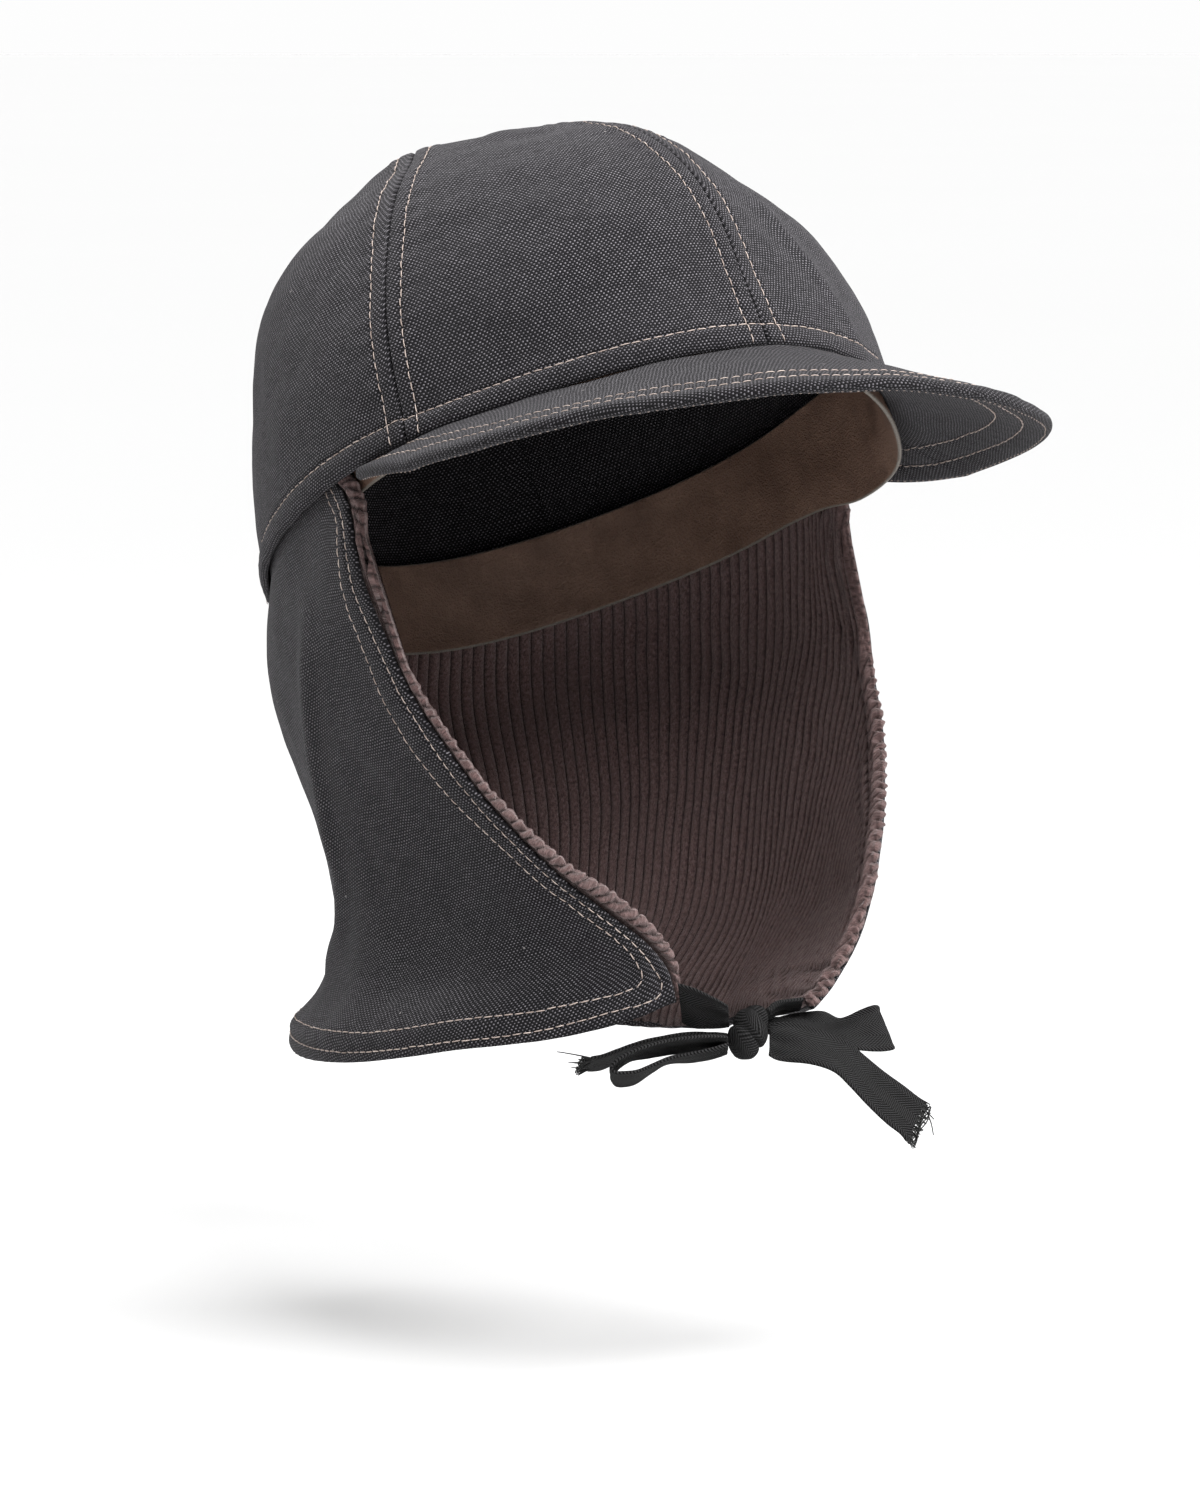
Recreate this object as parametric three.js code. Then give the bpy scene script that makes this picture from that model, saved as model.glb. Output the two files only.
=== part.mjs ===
// Riding cap: five-panel canvas crown, short stitched brim, leather sweatband,
// one wrap-round neck and ear flap with a ribbed cloth lining, and two tapes
// tied in a bow under the chin.
//
// Millimetres. +Z is up, the front of the cap faces -Y, and the wearer's right
// is at -X. The origin is the centre of the head opening, in the middle of the
// crown's lower edge, which is where the cap sits on a head.
import * as THREE from 'three';

// ---------------------------------------------------------------- main sizes
const EDGE_HALF_WIDTH_RIGHT = 84;    // crown's lower edge, centre to right ear
const EDGE_HALF_WIDTH_LEFT = 86;     // the left side is pushed out a little
const EDGE_HALF_LENGTH = 107.6;      // half of front to back, in the edge's plane
const EDGE_LIFT_RIGHT = 5.6;         // how far the edge rises over the right ear
const EDGE_LIFT_LEFT = -0.6;
const EDGE_WAVE = -2.1;
const CROWN_LEAN = 27;               // degrees that the cap leans back on the head
const CROWN_HEIGHT = 113.9;          // edge plane to the point where seams meet
const CROWN_APEX_BACK = 31.2;        // the seams meet behind the middle
const CROWN_BACK_HALF_LENGTH = 104.8;
const CROWN_SQUARENESS = 2.154;      // exponent of the crown's side view
const CROWN_PLAN_EXPONENT = 1.85;    // exponent of the crown's plan, higher up
const WALL_CANVAS = 1.8;             // crown: canvas, seam allowance and hem
const SEAM_GAP = 0.5;
const CROWN_TOP = 0.985;              // level at which the panels end, by the apex
const SIDE_SEAM_ANGLE = 67.4;        // degrees round from the front, at the edge
const SIDE_SEAM_SWING = -18.9;       // its swing forward by the time it meets the top
const REAR_SEAM_ANGLE = 140;

const BRIM_HALF_WIDTH = 92.5;
const BRIM_WIDEST_FORWARD = 60;      // how far forward the brim is widest
const BRIM_REACH = 158;              // rim, in front of the middle, along the lean
const BRIM_PLAN_EXPONENT = 2.2;
const BRIM_ROOT_ANGLE = 80;          // the brim runs this far round each side
const BRIM_ROOT_FORWARD = 18.7;
const BRIM_ROOT_INSET = 0.2;
const BRIM_THICK = 3.6;
const BRIM_DROP_AT_ROOT = 2.5;
const BRIM_ARCH = 0.5;

const BAND_THICK = 1.3;              // leather sweatband
const BAND_TOP = 24;                 // how far up inside the crown it reaches

const FLAP_THICK = 1.2;
const FLAP_TUCK = 8;                 // flap's top hidden inside the crown
const FLAP_OFFSET = -3.1;            // flap's middle, inward of the crown's face
const FLAP_COLUMNS = 38;
const FLAP_ROWS = 13;
const LINING_THICK = 2.0;
const LINING_GAP = 0.4;
const LINING_PROUD = 2.6;            // lining shows past the flap's front edge

const TAPE_THICK = 1.0;

// ------------------------------------------------------------------- tables
// Small swells and dents of the crown. angle and swing in degrees round from
// the front (right positive), level 0 at the edge and 1 at the top.
const SWELL_ACROSS = 26;             // spread of each swell, degrees
const SWELL_ALONG = 0.16;            // and in level
const CROWN_SWELLS = [
  { angle: 0, level: 0.1, by: -2.5 }, { angle: -75, level: 0.25, by: 1.7 },
  { angle: -50, level: 0.25, by: 2.5 }, { angle: -25, level: 0.25, by: -2.4 },
  { angle: 0, level: 0.25, by: 1.5 }, { angle: 30, level: 0.25, by: 1.1 },
  { angle: 60, level: 0.25, by: 2.2 }, { angle: 125, level: 0.25, by: -1 },
  { angle: -60, level: 0.45, by: -1.7 }, { angle: -30, level: 0.45, by: -2.6 },
  { angle: 0, level: 0.45, by: 3.1 }, { angle: 35, level: 0.45, by: 0.4 },
  { angle: 65, level: 0.45, by: 1.4 }, { angle: 95, level: 0.45, by: 2.2 },
  { angle: 130, level: 0.45, by: 0.6 }, { angle: -20, level: 0.65, by: -2.9 },
  { angle: 20, level: 0.65, by: -0.4 }, { angle: 60, level: 0.65, by: -1 },
  { angle: 100, level: 0.65, by: -2.1 }, { angle: 0, level: 0.82, by: 0.5 },
  { angle: 60, level: 0.82, by: 2 }, { angle: 120, level: 0.82, by: -0.5 },
];
const CROWN_LEVELS = [
  { level: 0.0, front: 0.0, side: 0.0, back: 0.0 },
  { level: 0.15, front: 0.019, side: 0.028, back: -0.008 },
  { level: 0.35, front: 0.02, side: 0.027, back: 0.0 },
  { level: 0.55, front: 0.001, side: 0.028, back: 0.004 },
  { level: 0.75, front: -0.006, side: 0.009, back: 0.003 },
  { level: 1.0, front: 0.0, side: 0.0, back: 0.0 },
];
// Height of the brim's rim, in the crown's leaning frame, by rim angle.
const BRIM_RIM = [
  { angle: -120, height: -3.4 }, { angle: -112, height: -9.5 },
  { angle: -104, height: -14.2 }, { angle: -94, height: -18.9 },
  { angle: -80, height: -24.9 }, { angle: -64, height: -30.6 },
  { angle: -48, height: -35.0 }, { angle: -32, height: -38.0 },
  { angle: -16, height: -37.2 }, { angle: 0, height: -35.0 },
  { angle: 16, height: -33.4 }, { angle: 32, height: -31.0 },
  { angle: 48, height: -26.8 }, { angle: 64, height: -22.2 },
  { angle: 80, height: -16.4 }, { angle: 94, height: -9.6 },
  { angle: 104, height: -4.6 }, { angle: 112, height: -0.6 },
  { angle: 120, height: 2.8 },
];
// Sweatband: how far its lower edge hangs below the crown's edge, how far in
// from the crown's face it runs, and how far the lower edge turns out.
const BAND_RUN = [
  { angle: -180, hang: 4.0, inset: 7.7, turn: 0 },
  { angle: -100, hang: 5.0, inset: 7.7, turn: 0 },
  { angle: -86, hang: 8.0, inset: 7.7, turn: 0 },
  { angle: -76, hang: 12.0, inset: 5.4, turn: 1.0 },
  { angle: -62, hang: 12.5, inset: 3.5, turn: 2.6 },
  { angle: -46, hang: 9.5, inset: 3.4, turn: 1.6 },
  { angle: -26, hang: 6.0, inset: 3.4, turn: 0.3 },
  { angle: 0, hang: 4.5, inset: 3.4, turn: 0 },
  { angle: 66, hang: 4.0, inset: 3.4, turn: 0 },
  { angle: 76, hang: 4.0, inset: 5.4, turn: 0 },
  { angle: 86, hang: 4.0, inset: 7.7, turn: 0 },
  { angle: 180, hang: 4.0, inset: 7.7, turn: 0 },
];
// Flap plan by fall: 0 at the crown's edge, 1 at the bottom. middle is the
// plan's centre forward of the origin and back its reach behind that. Each side
// has its half width, the exponent of its front half, and its front edge's
// place, out to the side and forward.
const FLAP_PLAN = [
  { fall: 0, middle: -1, back: 93.6, right: 81.6, right_power: 2, right_out: 81.4, right_fwd: 2.2, left: 81.6, left_power: 2, left_out: 81.4, left_fwd: 2.2 },
  { fall: 0.12, middle: 0, back: 95, right: 83.8, right_power: 2.05, right_out: 82.5, right_fwd: 12.4, left: 83.5, left_power: 2.05, left_out: 82.3, left_fwd: 12.4 },
  { fall: 0.25, middle: 1, back: 92, right: 83, right_power: 2.15, right_out: 81.6, right_fwd: 26.6, left: 82.7, left_power: 2.15, left_out: 81.3, left_fwd: 26.6 },
  { fall: 0.37, middle: 2, back: 85.7, right: 79.2, right_power: 2.25, right_out: 77.5, right_fwd: 36.2, left: 79.2, left_power: 2.25, left_out: 77.5, left_fwd: 36.2 },
  { fall: 0.49, middle: 3, back: 80.6, right: 75.7, right_power: 2.35, right_out: 72.1, right_fwd: 48.2, left: 75.7, left_power: 2.35, left_out: 72.1, left_fwd: 48.2 },
  { fall: 0.6, middle: 3.5, back: 77.2, right: 71.4, right_power: 2.35, right_out: 65, right_fwd: 59.6, left: 71.4, left_power: 2.35, left_out: 65, left_fwd: 59.6 },
  { fall: 0.72, middle: 4, back: 77, right: 66.7, right_power: 2.3, right_out: 53.5, right_fwd: 72.5, left: 68.2, left_power: 2.2, left_out: 55.5, left_fwd: 70.5 },
  { fall: 0.8, middle: 3.8, back: 84, right: 65.6, right_power: 2.2, right_out: 42.1, right_fwd: 79, left: 66.5, left_power: 1.9, left_out: 49, left_fwd: 76 },
  { fall: 0.88, middle: 2.8, back: 93, right: 67, right_power: 2.1, right_out: 29.8, right_fwd: 82, left: 62, left_power: 1.7, left_out: 41.5, left_fwd: 78.6 },
  { fall: 0.95, middle: 1.5, back: 102, right: 73, right_power: 2.1, right_out: 22.2, right_fwd: 80.9, left: 56, left_power: 1.55, left_out: 33, left_fwd: 80 },
  { fall: 1, middle: 1.5, back: 101.5, right: 73.5, right_power: 2.1, right_out: 20.2, right_fwd: 81.6, left: 51, left_power: 1.5, left_out: 25.2, left_fwd: 80.6 },
];
// Height of the flap's bottom edge on each side, by angle round from the front.
const FLAP_BOTTOM = [
  { angle: 0, right: -127, left: -127 }, { angle: 16, right: -131.4, left: -130.5 },
  { angle: 22, right: -134.4, left: -132.6 }, { angle: 29, right: -137.2, left: -134.6 },
  { angle: 41, right: -140.9, left: -137.6 }, { angle: 52, right: -143.3, left: -141.2 },
  { angle: 63, right: -145.7, left: -145 }, { angle: 77, right: -149.7, left: -149.7 },
  { angle: 97, right: -154.9, left: -154.9 }, { angle: 117, right: -157.5, left: -157.5 },
  { angle: 140, right: -157.5, left: -157.5 }, { angle: 180, right: -157.5, left: -157.5 },
];
// Tape runs: centre (x, y, z), the direction across the tape, and its width.
const STRAP_RIGHT = [
  { x: -19.9, y: -82.9, z: -131.1, ax: -0.39, ay: -0.43, az: 0.82, w: 14.5 },
  { x: -16.5, y: -84.6, z: -132.7, ax: -0.31, ay: -0.45, az: 0.83, w: 14.5 },
  { x: -12.7, y: -85.7, z: -133.7, ax: -0.36, ay: -0.50, az: 0.79, w: 13.5 },
  { x: -8.8, y: -86.1, z: -134.8, ax: -0.39, ay: -0.54, az: 0.75, w: 11.5 },
  { x: -6.0, y: -86.3, z: -135.6, ax: -0.42, ay: -0.56, az: 0.72, w: 9 },
];
const STRAP_LEFT = [
  { x: 22.1, y: -81.2, z: -134.7, ax: -0.48, ay: -0.81, az: 0.35, w: 13 },
  { x: 16.4, y: -81.7, z: -135.0, ax: -0.50, ay: -0.78, az: 0.38, w: 13 },
  { x: 11.6, y: -83.3, z: -135.1, ax: -0.51, ay: -0.73, az: 0.46, w: 10 },
  { x: 7.8, y: -85.1, z: -136.2, ax: -0.52, ay: -0.69, az: 0.50, w: 7 },
];
const LOOP_RIGHT = [
  { x: -7.4, y: -87.8, z: -142.1, ax: -0.48, ay: -0.79, az: 0.38, w: 8 },
  { x: -10.0, y: -87.8, z: -142.2, ax: -0.48, ay: -0.77, az: 0.42, w: 11 },
  { x: -17.0, y: -87.5, z: -142.0, ax: -0.48, ay: -0.78, az: 0.41, w: 14.5 },
  { x: -24.4, y: -86.8, z: -142.2, ax: -0.48, ay: -0.78, az: 0.40, w: 15 },
  { x: -31.9, y: -86.2, z: -143.0, ax: -0.49, ay: -0.79, az: 0.37, w: 15 },
  { x: -38.5, y: -85.7, z: -144.2, ax: -0.51, ay: -0.81, az: 0.30, w: 15 },
  { x: -43.3, y: -85.1, z: -147.2, ax: -0.52, ay: -0.79, az: 0.33, w: 15 },
  { x: -42.6, y: -85.2, z: -149.7, ax: -0.52, ay: -0.76, az: 0.38, w: 15 },
  { x: -39.4, y: -85.5, z: -150.2, ax: -0.50, ay: -0.77, az: 0.39, w: 15 },
  { x: -35.6, y: -85.6, z: -149.8, ax: -0.49, ay: -0.80, az: 0.35, w: 15 },
  { x: -30.8, y: -85.6, z: -147.8, ax: -0.53, ay: -0.81, az: 0.25, w: 14.5 },
  { x: -25.5, y: -85.9, z: -146.2, ax: -0.51, ay: -0.83, az: 0.24, w: 14 },
  { x: -20.1, y: -86.3, z: -145.9, ax: -0.50, ay: -0.81, az: 0.30, w: 13.5 },
  { x: -15.0, y: -87.2, z: -145.3, ax: -0.49, ay: -0.80, az: 0.34, w: 12.5 },
  { x: -10.1, y: -88.0, z: -144.4, ax: -0.49, ay: -0.78, az: 0.38, w: 10.5 },
  { x: -7.4, y: -87.8, z: -143.7, ax: -0.47, ay: -0.78, az: 0.41, w: 8 },
];
const TAIL_RIGHT = [
  { x: -0.6, y: -78.5, z: -143.6, ax: -0.50, ay: -0.78, az: 0.38, w: 8 },
  { x: -5.3, y: -77.2, z: -142.9, ax: -0.51, ay: -0.75, az: 0.42, w: 11 },
  { x: -12.0, y: -75.2, z: -142.7, ax: -0.51, ay: -0.78, az: 0.37, w: 14 },
  { x: -18.4, y: -72.9, z: -143.4, ax: -0.51, ay: -0.78, az: 0.35, w: 15 },
  { x: -24.5, y: -70.2, z: -144.8, ax: -0.51, ay: -0.78, az: 0.36, w: 15 },
  { x: -30.3, y: -67.3, z: -146.9, ax: -0.49, ay: -0.79, az: 0.37, w: 15 },
  { x: -33.9, y: -65.1, z: -148.6, ax: -0.46, ay: -0.80, az: 0.40, w: 15 },
  { x: -36.8, y: -63.2, z: -149.2, ax: -0.44, ay: -0.81, az: 0.38, w: 15 },
];
const LOOP_LEFT = [
  { x: 10.1, y: -81.5, z: -139.8, ax: 0.55, ay: 0.81, az: 0.21, w: 8 },
  { x: 15.0, y: -82.4, z: -140.3, ax: 0.54, ay: 0.80, az: 0.26, w: 10 },
  { x: 21.2, y: -83.6, z: -141.6, ax: 0.56, ay: 0.80, az: 0.22, w: 13 },
  { x: 27.7, y: -84.9, z: -143.1, ax: 0.53, ay: 0.82, az: 0.20, w: 15 },
  { x: 32.8, y: -86.4, z: -143.2, ax: 0.48, ay: 0.79, az: 0.39, w: 15 },
  { x: 38.4, y: -87.0, z: -142.8, ax: 0.37, ay: 0.66, az: 0.65, w: 15 },
  { x: 43.6, y: -87.4, z: -142.6, ax: 0.21, ay: 0.59, az: 0.78, w: 15 },
  { x: 47.3, y: -85.7, z: -143.1, ax: 0.13, ay: 0.69, az: 0.71, w: 15 },
  { x: 47.9, y: -81.9, z: -143.9, ax: 0.15, ay: 0.72, az: 0.67, w: 15 },
  { x: 42.9, y: -79.4, z: -144.5, ax: 0.31, ay: 0.76, az: 0.57, w: 15 },
  { x: 36.8, y: -79.0, z: -144.6, ax: 0.45, ay: 0.78, az: 0.44, w: 15 },
  { x: 30.6, y: -79.5, z: -142.0, ax: 0.48, ay: 0.75, az: 0.46, w: 14 },
  { x: 24.0, y: -79.9, z: -141.1, ax: 0.54, ay: 0.72, az: 0.45, w: 12.5 },
  { x: 17.5, y: -78.7, z: -140.7, ax: 0.54, ay: 0.77, az: 0.34, w: 10.5 },
  { x: 12.0, y: -78.7, z: -140.7, ax: 0.55, ay: 0.81, az: 0.23, w: 8 },
];
const TAIL_LEFT = [
  { x: 5.0, y: -89.9, z: -142.8, ax: 0.40, ay: 0.58, az: 0.71, w: 9.5 },
  { x: 7.5, y: -90.9, z: -142.9, ax: 0.35, ay: 0.41, az: 0.84, w: 11.5 },
  { x: 13.5, y: -93.7, z: -143.8, ax: 0.51, ay: 0.59, az: 0.63, w: 14 },
  { x: 18.5, y: -95.8, z: -145.3, ax: 0.61, ay: 0.62, az: 0.49, w: 15 },
  { x: 23.7, y: -97.7, z: -147.8, ax: 0.67, ay: 0.59, az: 0.44, w: 15 },
  { x: 28.1, y: -99.0, z: -151.8, ax: 0.70, ay: 0.56, az: 0.44, w: 15 },
  { x: 33.4, y: -100.5, z: -157.0, ax: 0.68, ay: 0.51, az: 0.53, w: 15 },
  { x: 38.9, y: -102.1, z: -161.8, ax: 0.67, ay: 0.44, az: 0.60, w: 15 },
  { x: 42.8, y: -103.1, z: -164.9, ax: 0.69, ay: 0.43, az: 0.58, w: 15 },
  { x: 44.7, y: -103.9, z: -166.8, ax: 0.68, ay: 0.35, az: 0.64, w: 15 },
];
const KNOT = { x: 0, y: -87.0, z: -140.4, half_x: 5.2, half_y: 4.6, half_z: 7.3, slant: 0.26 };

// ------------------------------------------------------------------ helpers
const RAD = Math.PI / 180;
const V = (x, y, z) => new THREE.Vector3(x, y, z);
const mix = (a, b, t) => a + (b - a) * t;
const smooth = (t) => { const c = Math.min(1, Math.max(0, t)); return c * c * (3 - 2 * c); };
const power = (v, e) => Math.sign(v) * Math.pow(Math.abs(v), e);

// Smooth value of a table's column at a key, by cubic Hermite with slopes
// from the neighbouring rows.
function column(table, key, name, at) {
  const n = table.length;
  if (at <= table[0][key]) return table[0][name];
  if (at >= table[n - 1][key]) return table[n - 1][name];
  let i = 0;
  while (table[i + 1][key] < at) i += 1;
  const slope = (k) => {
    const a = table[Math.max(0, k - 1)]; const b = table[Math.min(n - 1, k + 1)];
    return (b[name] - a[name]) / (b[key] - a[key]);
  };
  const p = table[i]; const q = table[i + 1];
  const h = q[key] - p[key]; const t = (at - p[key]) / h;
  const t2 = t * t; const t3 = t2 * t;
  return (2 * t3 - 3 * t2 + 1) * p[name] + (t3 - 2 * t2 + t) * h * slope(i)
    + (-2 * t3 + 3 * t2) * q[name] + (t3 - t2) * h * slope(i + 1);
}

// The crown's leaning frame to the cap's frame: f is forward, h is height.
function lean(x, f, h) {
  const c = Math.cos(CROWN_LEAN * RAD); const s = Math.sin(CROWN_LEAN * RAD);
  return V(x, -f * c + h * s, f * s + h * c);
}

function edgeHeight(deg) {
  const a = deg * RAD;
  const lift = deg < 0 ? EDGE_LIFT_LEFT : EDGE_LIFT_RIGHT;
  return lift * Math.sin(a) ** 2 + EDGE_WAVE * Math.sin(2 * a) ** 2 * Math.sign(Math.cos(a));
}

// Outer face of the crown. deg is round from the front, right positive;
// level is 0 at the edge and 1 where the seams meet.
function crownFace(deg, level) {
  const a = deg * RAD;
  const u = Math.min(1, level) * Math.PI / 2;
  const e = 2 / CROWN_SQUARENESS;
  const rho = Math.pow(Math.max(0, Math.cos(u)), e);
  const rise = Math.pow(Math.max(0, Math.sin(u)), e);
  const c = Math.cos(a); const s = Math.sin(a);
  const q = 2 / CROWN_PLAN_EXPONENT;
  const w = Math.min(1, rise * 3);
  const halfWidth = deg < 0 ? mix(EDGE_HALF_WIDTH_LEFT, EDGE_HALF_WIDTH_RIGHT, Math.min(1, rise * 1.6)) : EDGE_HALF_WIDTH_RIGHT;
  const halfLength = c < 0 ? CROWN_BACK_HALF_LENGTH + (EDGE_HALF_LENGTH - CROWN_BACK_HALF_LENGTH) * (1 - rise) ** 2 : EDGE_HALF_LENGTH;
  const lobe = c > 0 ? column(CROWN_LEVELS, 'level', 'front', level) : column(CROWN_LEVELS, 'level', 'back', level);
  const swell = 1 + lobe * c * c + column(CROWN_LEVELS, 'level', 'side', level) * s * s;
  const x = -halfWidth * ((1 - w) * s + w * power(s, q)) * rho * swell;
  const f = halfLength * ((1 - w) * c + w * power(c, q)) * rho * swell - CROWN_APEX_BACK * (1 - rho);
  const h = edgeHeight(deg) * (1 - rise) ** 2 + CROWN_HEIGHT * rise;
  return lean(x, f, h);
}

// Outward direction of a surface fn(u, v) by small steps.
function facing(fn, u, v, du, dv) {
  const a = fn(u + du, v).sub(fn(u - du, v));
  const b = fn(u, v + dv).sub(fn(u, v - dv));
  return a.cross(b).normalize();
}

function crownSwell(deg, level) {
  let by = 0;
  for (const s of CROWN_SWELLS) {
    const round = ((((deg - s.angle + 180) % 360) + 360) % 360) - 180;
    const a = round / SWELL_ACROSS; const b = (level - s.level) / SWELL_ALONG;
    by += s.by * Math.exp(-a * a - b * b);
  }
  return by * Math.min(1, level * 8);
}

// Crown face moved along its outward direction, with its swells.
function crown(deg, level, offset) {
  const l = Math.max(0.004, Math.min(0.996, level));
  const n = facing(crownFace, deg, l, 0.5, -0.003);
  const p = crownFace(deg, level);
  return p.addScaledVector(n, offset + crownSwell(deg, level));
}

// A closed wall over the surface fn(u, v), u and v from 0 to 1, from offset
// near to offset far along the surface's facing. Where loop is true the wall
// closes on itself in u.
function wall(fn, nu, nv, near, far, options = {}) {
  const { loop = false, flip = false } = options;
  const step = 1e-3;
  const rows = nv + 1; const cols = loop ? nu : nu + 1;
  const pos = [];
  const at = (u, v) => fn(u, v);
  for (const off of [near, far]) {
    for (let j = 0; j < rows; j += 1) {
      for (let i = 0; i < cols; i += 1) {
        const u = i / nu; const v = j / nv;
        const uu = loop ? u : Math.min(1 - step, Math.max(step, u));
        const vv = Math.min(1 - step, Math.max(step, v));
        const n = facing(at, uu, vv, step, step);
        const thin = options.taper ? options.taper(u, v) : 1;
        const p = at(u, v).addScaledVector(n, (flip ? -off : off) * thin);
        pos.push(p.x, p.y, p.z);
      }
    }
  }
  const id = (k, i, j) => k * rows * cols + j * cols + (loop ? i % cols : i);
  const tri = [];
  const quad = (a, b, c, d) => { tri.push(a, b, c, a, c, d); };
  for (let j = 0; j < nv; j += 1) {
    for (let i = 0; i < nu; i += 1) {
      quad(id(0, i, j), id(0, i, j + 1), id(0, i + 1, j + 1), id(0, i + 1, j));
      quad(id(1, i, j), id(1, i + 1, j), id(1, i + 1, j + 1), id(1, i, j + 1));
    }
  }
  for (let i = 0; i < nu; i += 1) {
    quad(id(0, i, 0), id(0, i + 1, 0), id(1, i + 1, 0), id(1, i, 0));
    quad(id(0, i, nv), id(1, i, nv), id(1, i + 1, nv), id(0, i + 1, nv));
  }
  if (!loop) {
    for (let j = 0; j < nv; j += 1) {
      quad(id(0, 0, j), id(1, 0, j), id(1, 0, j + 1), id(0, 0, j + 1));
      quad(id(0, nu, j), id(0, nu, j + 1), id(1, nu, j + 1), id(1, nu, j));
    }
  }
  return solid(pos, tri);
}

function solid(pos, tri) {
  let volume = 0;
  const g = (k) => V(pos[3 * k], pos[3 * k + 1], pos[3 * k + 2]);
  for (let k = 0; k < tri.length; k += 3) {
    volume += g(tri[k]).dot(g(tri[k + 1]).cross(g(tri[k + 2])));
  }
  const index = volume > 0 ? tri : tri.map((_, k) => (k % 3 === 0 ? tri[k] : k % 3 === 1 ? tri[k + 1] : tri[k - 1]));
  const geometry = new THREE.BufferGeometry();
  geometry.setAttribute('position', new THREE.Float32BufferAttribute(pos, 3));
  geometry.setIndex(index);
  geometry.computeVertexNormals();
  return geometry;
}

// ------------------------------------------------------------------- pieces
function seamAngle(base, swing, level) { return base + swing * level; }

// One crown panel between two seams; each seam is {base, swing} in degrees.
function crownPanel(from, to, columns) {
  const top = CROWN_TOP;
  const fn = (u, v) => {
    const level = v * top;
    let a = seamAngle(from.base, from.swing, level);
    let b = seamAngle(to.base, to.swing, level);
    const mid = (a + b) / 2;
    const reach = crownFace(mid + 1, level).distanceTo(crownFace(mid - 1, level)) / 2;
    const back = SEAM_GAP / 2 / Math.max(0.02, reach);
    a += back; b -= back;
    return crown(mix(a, b, u), level, 0);
  };
  return wall(fn, columns, 10, 0, -WALL_CANVAS, { flip: true });
}

const SEAM_FRONT = { base: 0, swing: 0 };
const SEAM_RIGHT = { base: SIDE_SEAM_ANGLE, swing: SIDE_SEAM_SWING };
const SEAM_LEFT = { base: -SIDE_SEAM_ANGLE, swing: -SIDE_SEAM_SWING };
const SEAM_REAR_RIGHT = { base: REAR_SEAM_ANGLE, swing: 0 };
const SEAM_REAR_LEFT = { base: -REAR_SEAM_ANGLE, swing: 0 };
const SEAM_REAR_LEFT_ROUND = { base: 360 - REAR_SEAM_ANGLE, swing: 0 };

function wrapDegrees(deg) { return deg > 180 ? deg - 360 : deg; }

// Rim of the brim in the leaning frame, w from -1 (left end) to 1 (right end).
function brimRim(w) {
  const deg = 120 * w;
  const a = Math.min(90, Math.abs(deg)) * RAD;
  const e = 2 / BRIM_PLAN_EXPONENT;
  let x = BRIM_HALF_WIDTH * Math.pow(Math.sin(a), e);
  let f = BRIM_WIDEST_FORWARD + (BRIM_REACH - BRIM_WIDEST_FORWARD) * Math.pow(Math.max(0, Math.cos(a)), e);
  const t = Math.max(0, (Math.abs(deg) - 90) / 30);
  const endWidth = EDGE_HALF_WIDTH_RIGHT * Math.sin(BRIM_ROOT_ANGLE * RAD);
  x -= (BRIM_HALF_WIDTH - endWidth) * t * t;
  f -= (BRIM_WIDEST_FORWARD - BRIM_ROOT_FORWARD) * t;
  return { x: -Math.sign(deg) * x, f, h: column(BRIM_RIM, 'angle', 'height', deg) };
}
function brimRoot(w) {
  const deg = BRIM_ROOT_ANGLE * w; const a = deg * RAD;
  const half = deg < 0 ? EDGE_HALF_WIDTH_LEFT : EDGE_HALF_WIDTH_RIGHT;
  return {
    x: -(half - BRIM_ROOT_INSET) * Math.sin(a), f: (EDGE_HALF_LENGTH - BRIM_ROOT_INSET) * Math.cos(a),
    h: edgeHeight(deg) - BRIM_DROP_AT_ROOT,
  };
}
function brimMiddle(w, r) {
  const p = brimRoot(w); const q = brimRim(w);
  const wide = Math.hypot(q.x - p.x, q.f - p.f);
  const arch = BRIM_ARCH * Math.sin(Math.PI * r) * Math.min(1, wide / 50);
  return lean(mix(p.x, q.x, r), mix(p.f, q.f, r), mix(p.h, q.h, r) + arch);
}

// The crown's level at a height over the edge's plane.
function levelAt(height) {
  return Math.asin(Math.pow(Math.min(1, Math.max(0, height / CROWN_HEIGHT)), CROWN_SQUARENESS / 2)) / (Math.PI / 2);
}
// Level direction out of the crown's edge, square to the lean.
function edgeOutward(deg) {
  const n = facing(crownFace, deg, 0.004, 0.5, -0.003);
  const up = lean(0, 0, 1);
  return n.addScaledVector(up, -n.dot(up)).normalize();
}
// Sweatband: v is 0 at its lower edge and 1 at its top.
function bandMiddle(deg, v) {
  const hang = column(BAND_RUN, 'angle', 'hang', deg);
  const inset = column(BAND_RUN, 'angle', 'inset', deg);
  const turn = column(BAND_RUN, 'angle', 'turn', deg);
  const run = mix(-hang, BAND_TOP, v);
  if (run > 0) return crown(deg, levelAt(run), -inset);
  const p = crown(deg, 0, -inset);
  return p.addScaledVector(edgeOutward(deg), turn * (-run / hang) ** 1.4).addScaledVector(lean(0, 0, 1), run);
}

function flapRow(fall, side) {
  const get = (name) => column(FLAP_PLAN, 'fall', name, fall);
  const at = side < 0 ? 'left' : 'right';
  const r = { half: get(at), power: get(`${at}_power`), middle: get('middle'), back: get('back') };
  const ratio = Math.min(0.9995, get(`${at}_out`) / r.half);
  r.front = (get(`${at}_fwd`) - r.middle) / Math.pow(1 - Math.pow(ratio, r.power), 1 / r.power);
  r.start = Math.asin(Math.pow(ratio, r.power / 2)) / RAD;
  return r;
}
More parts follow.
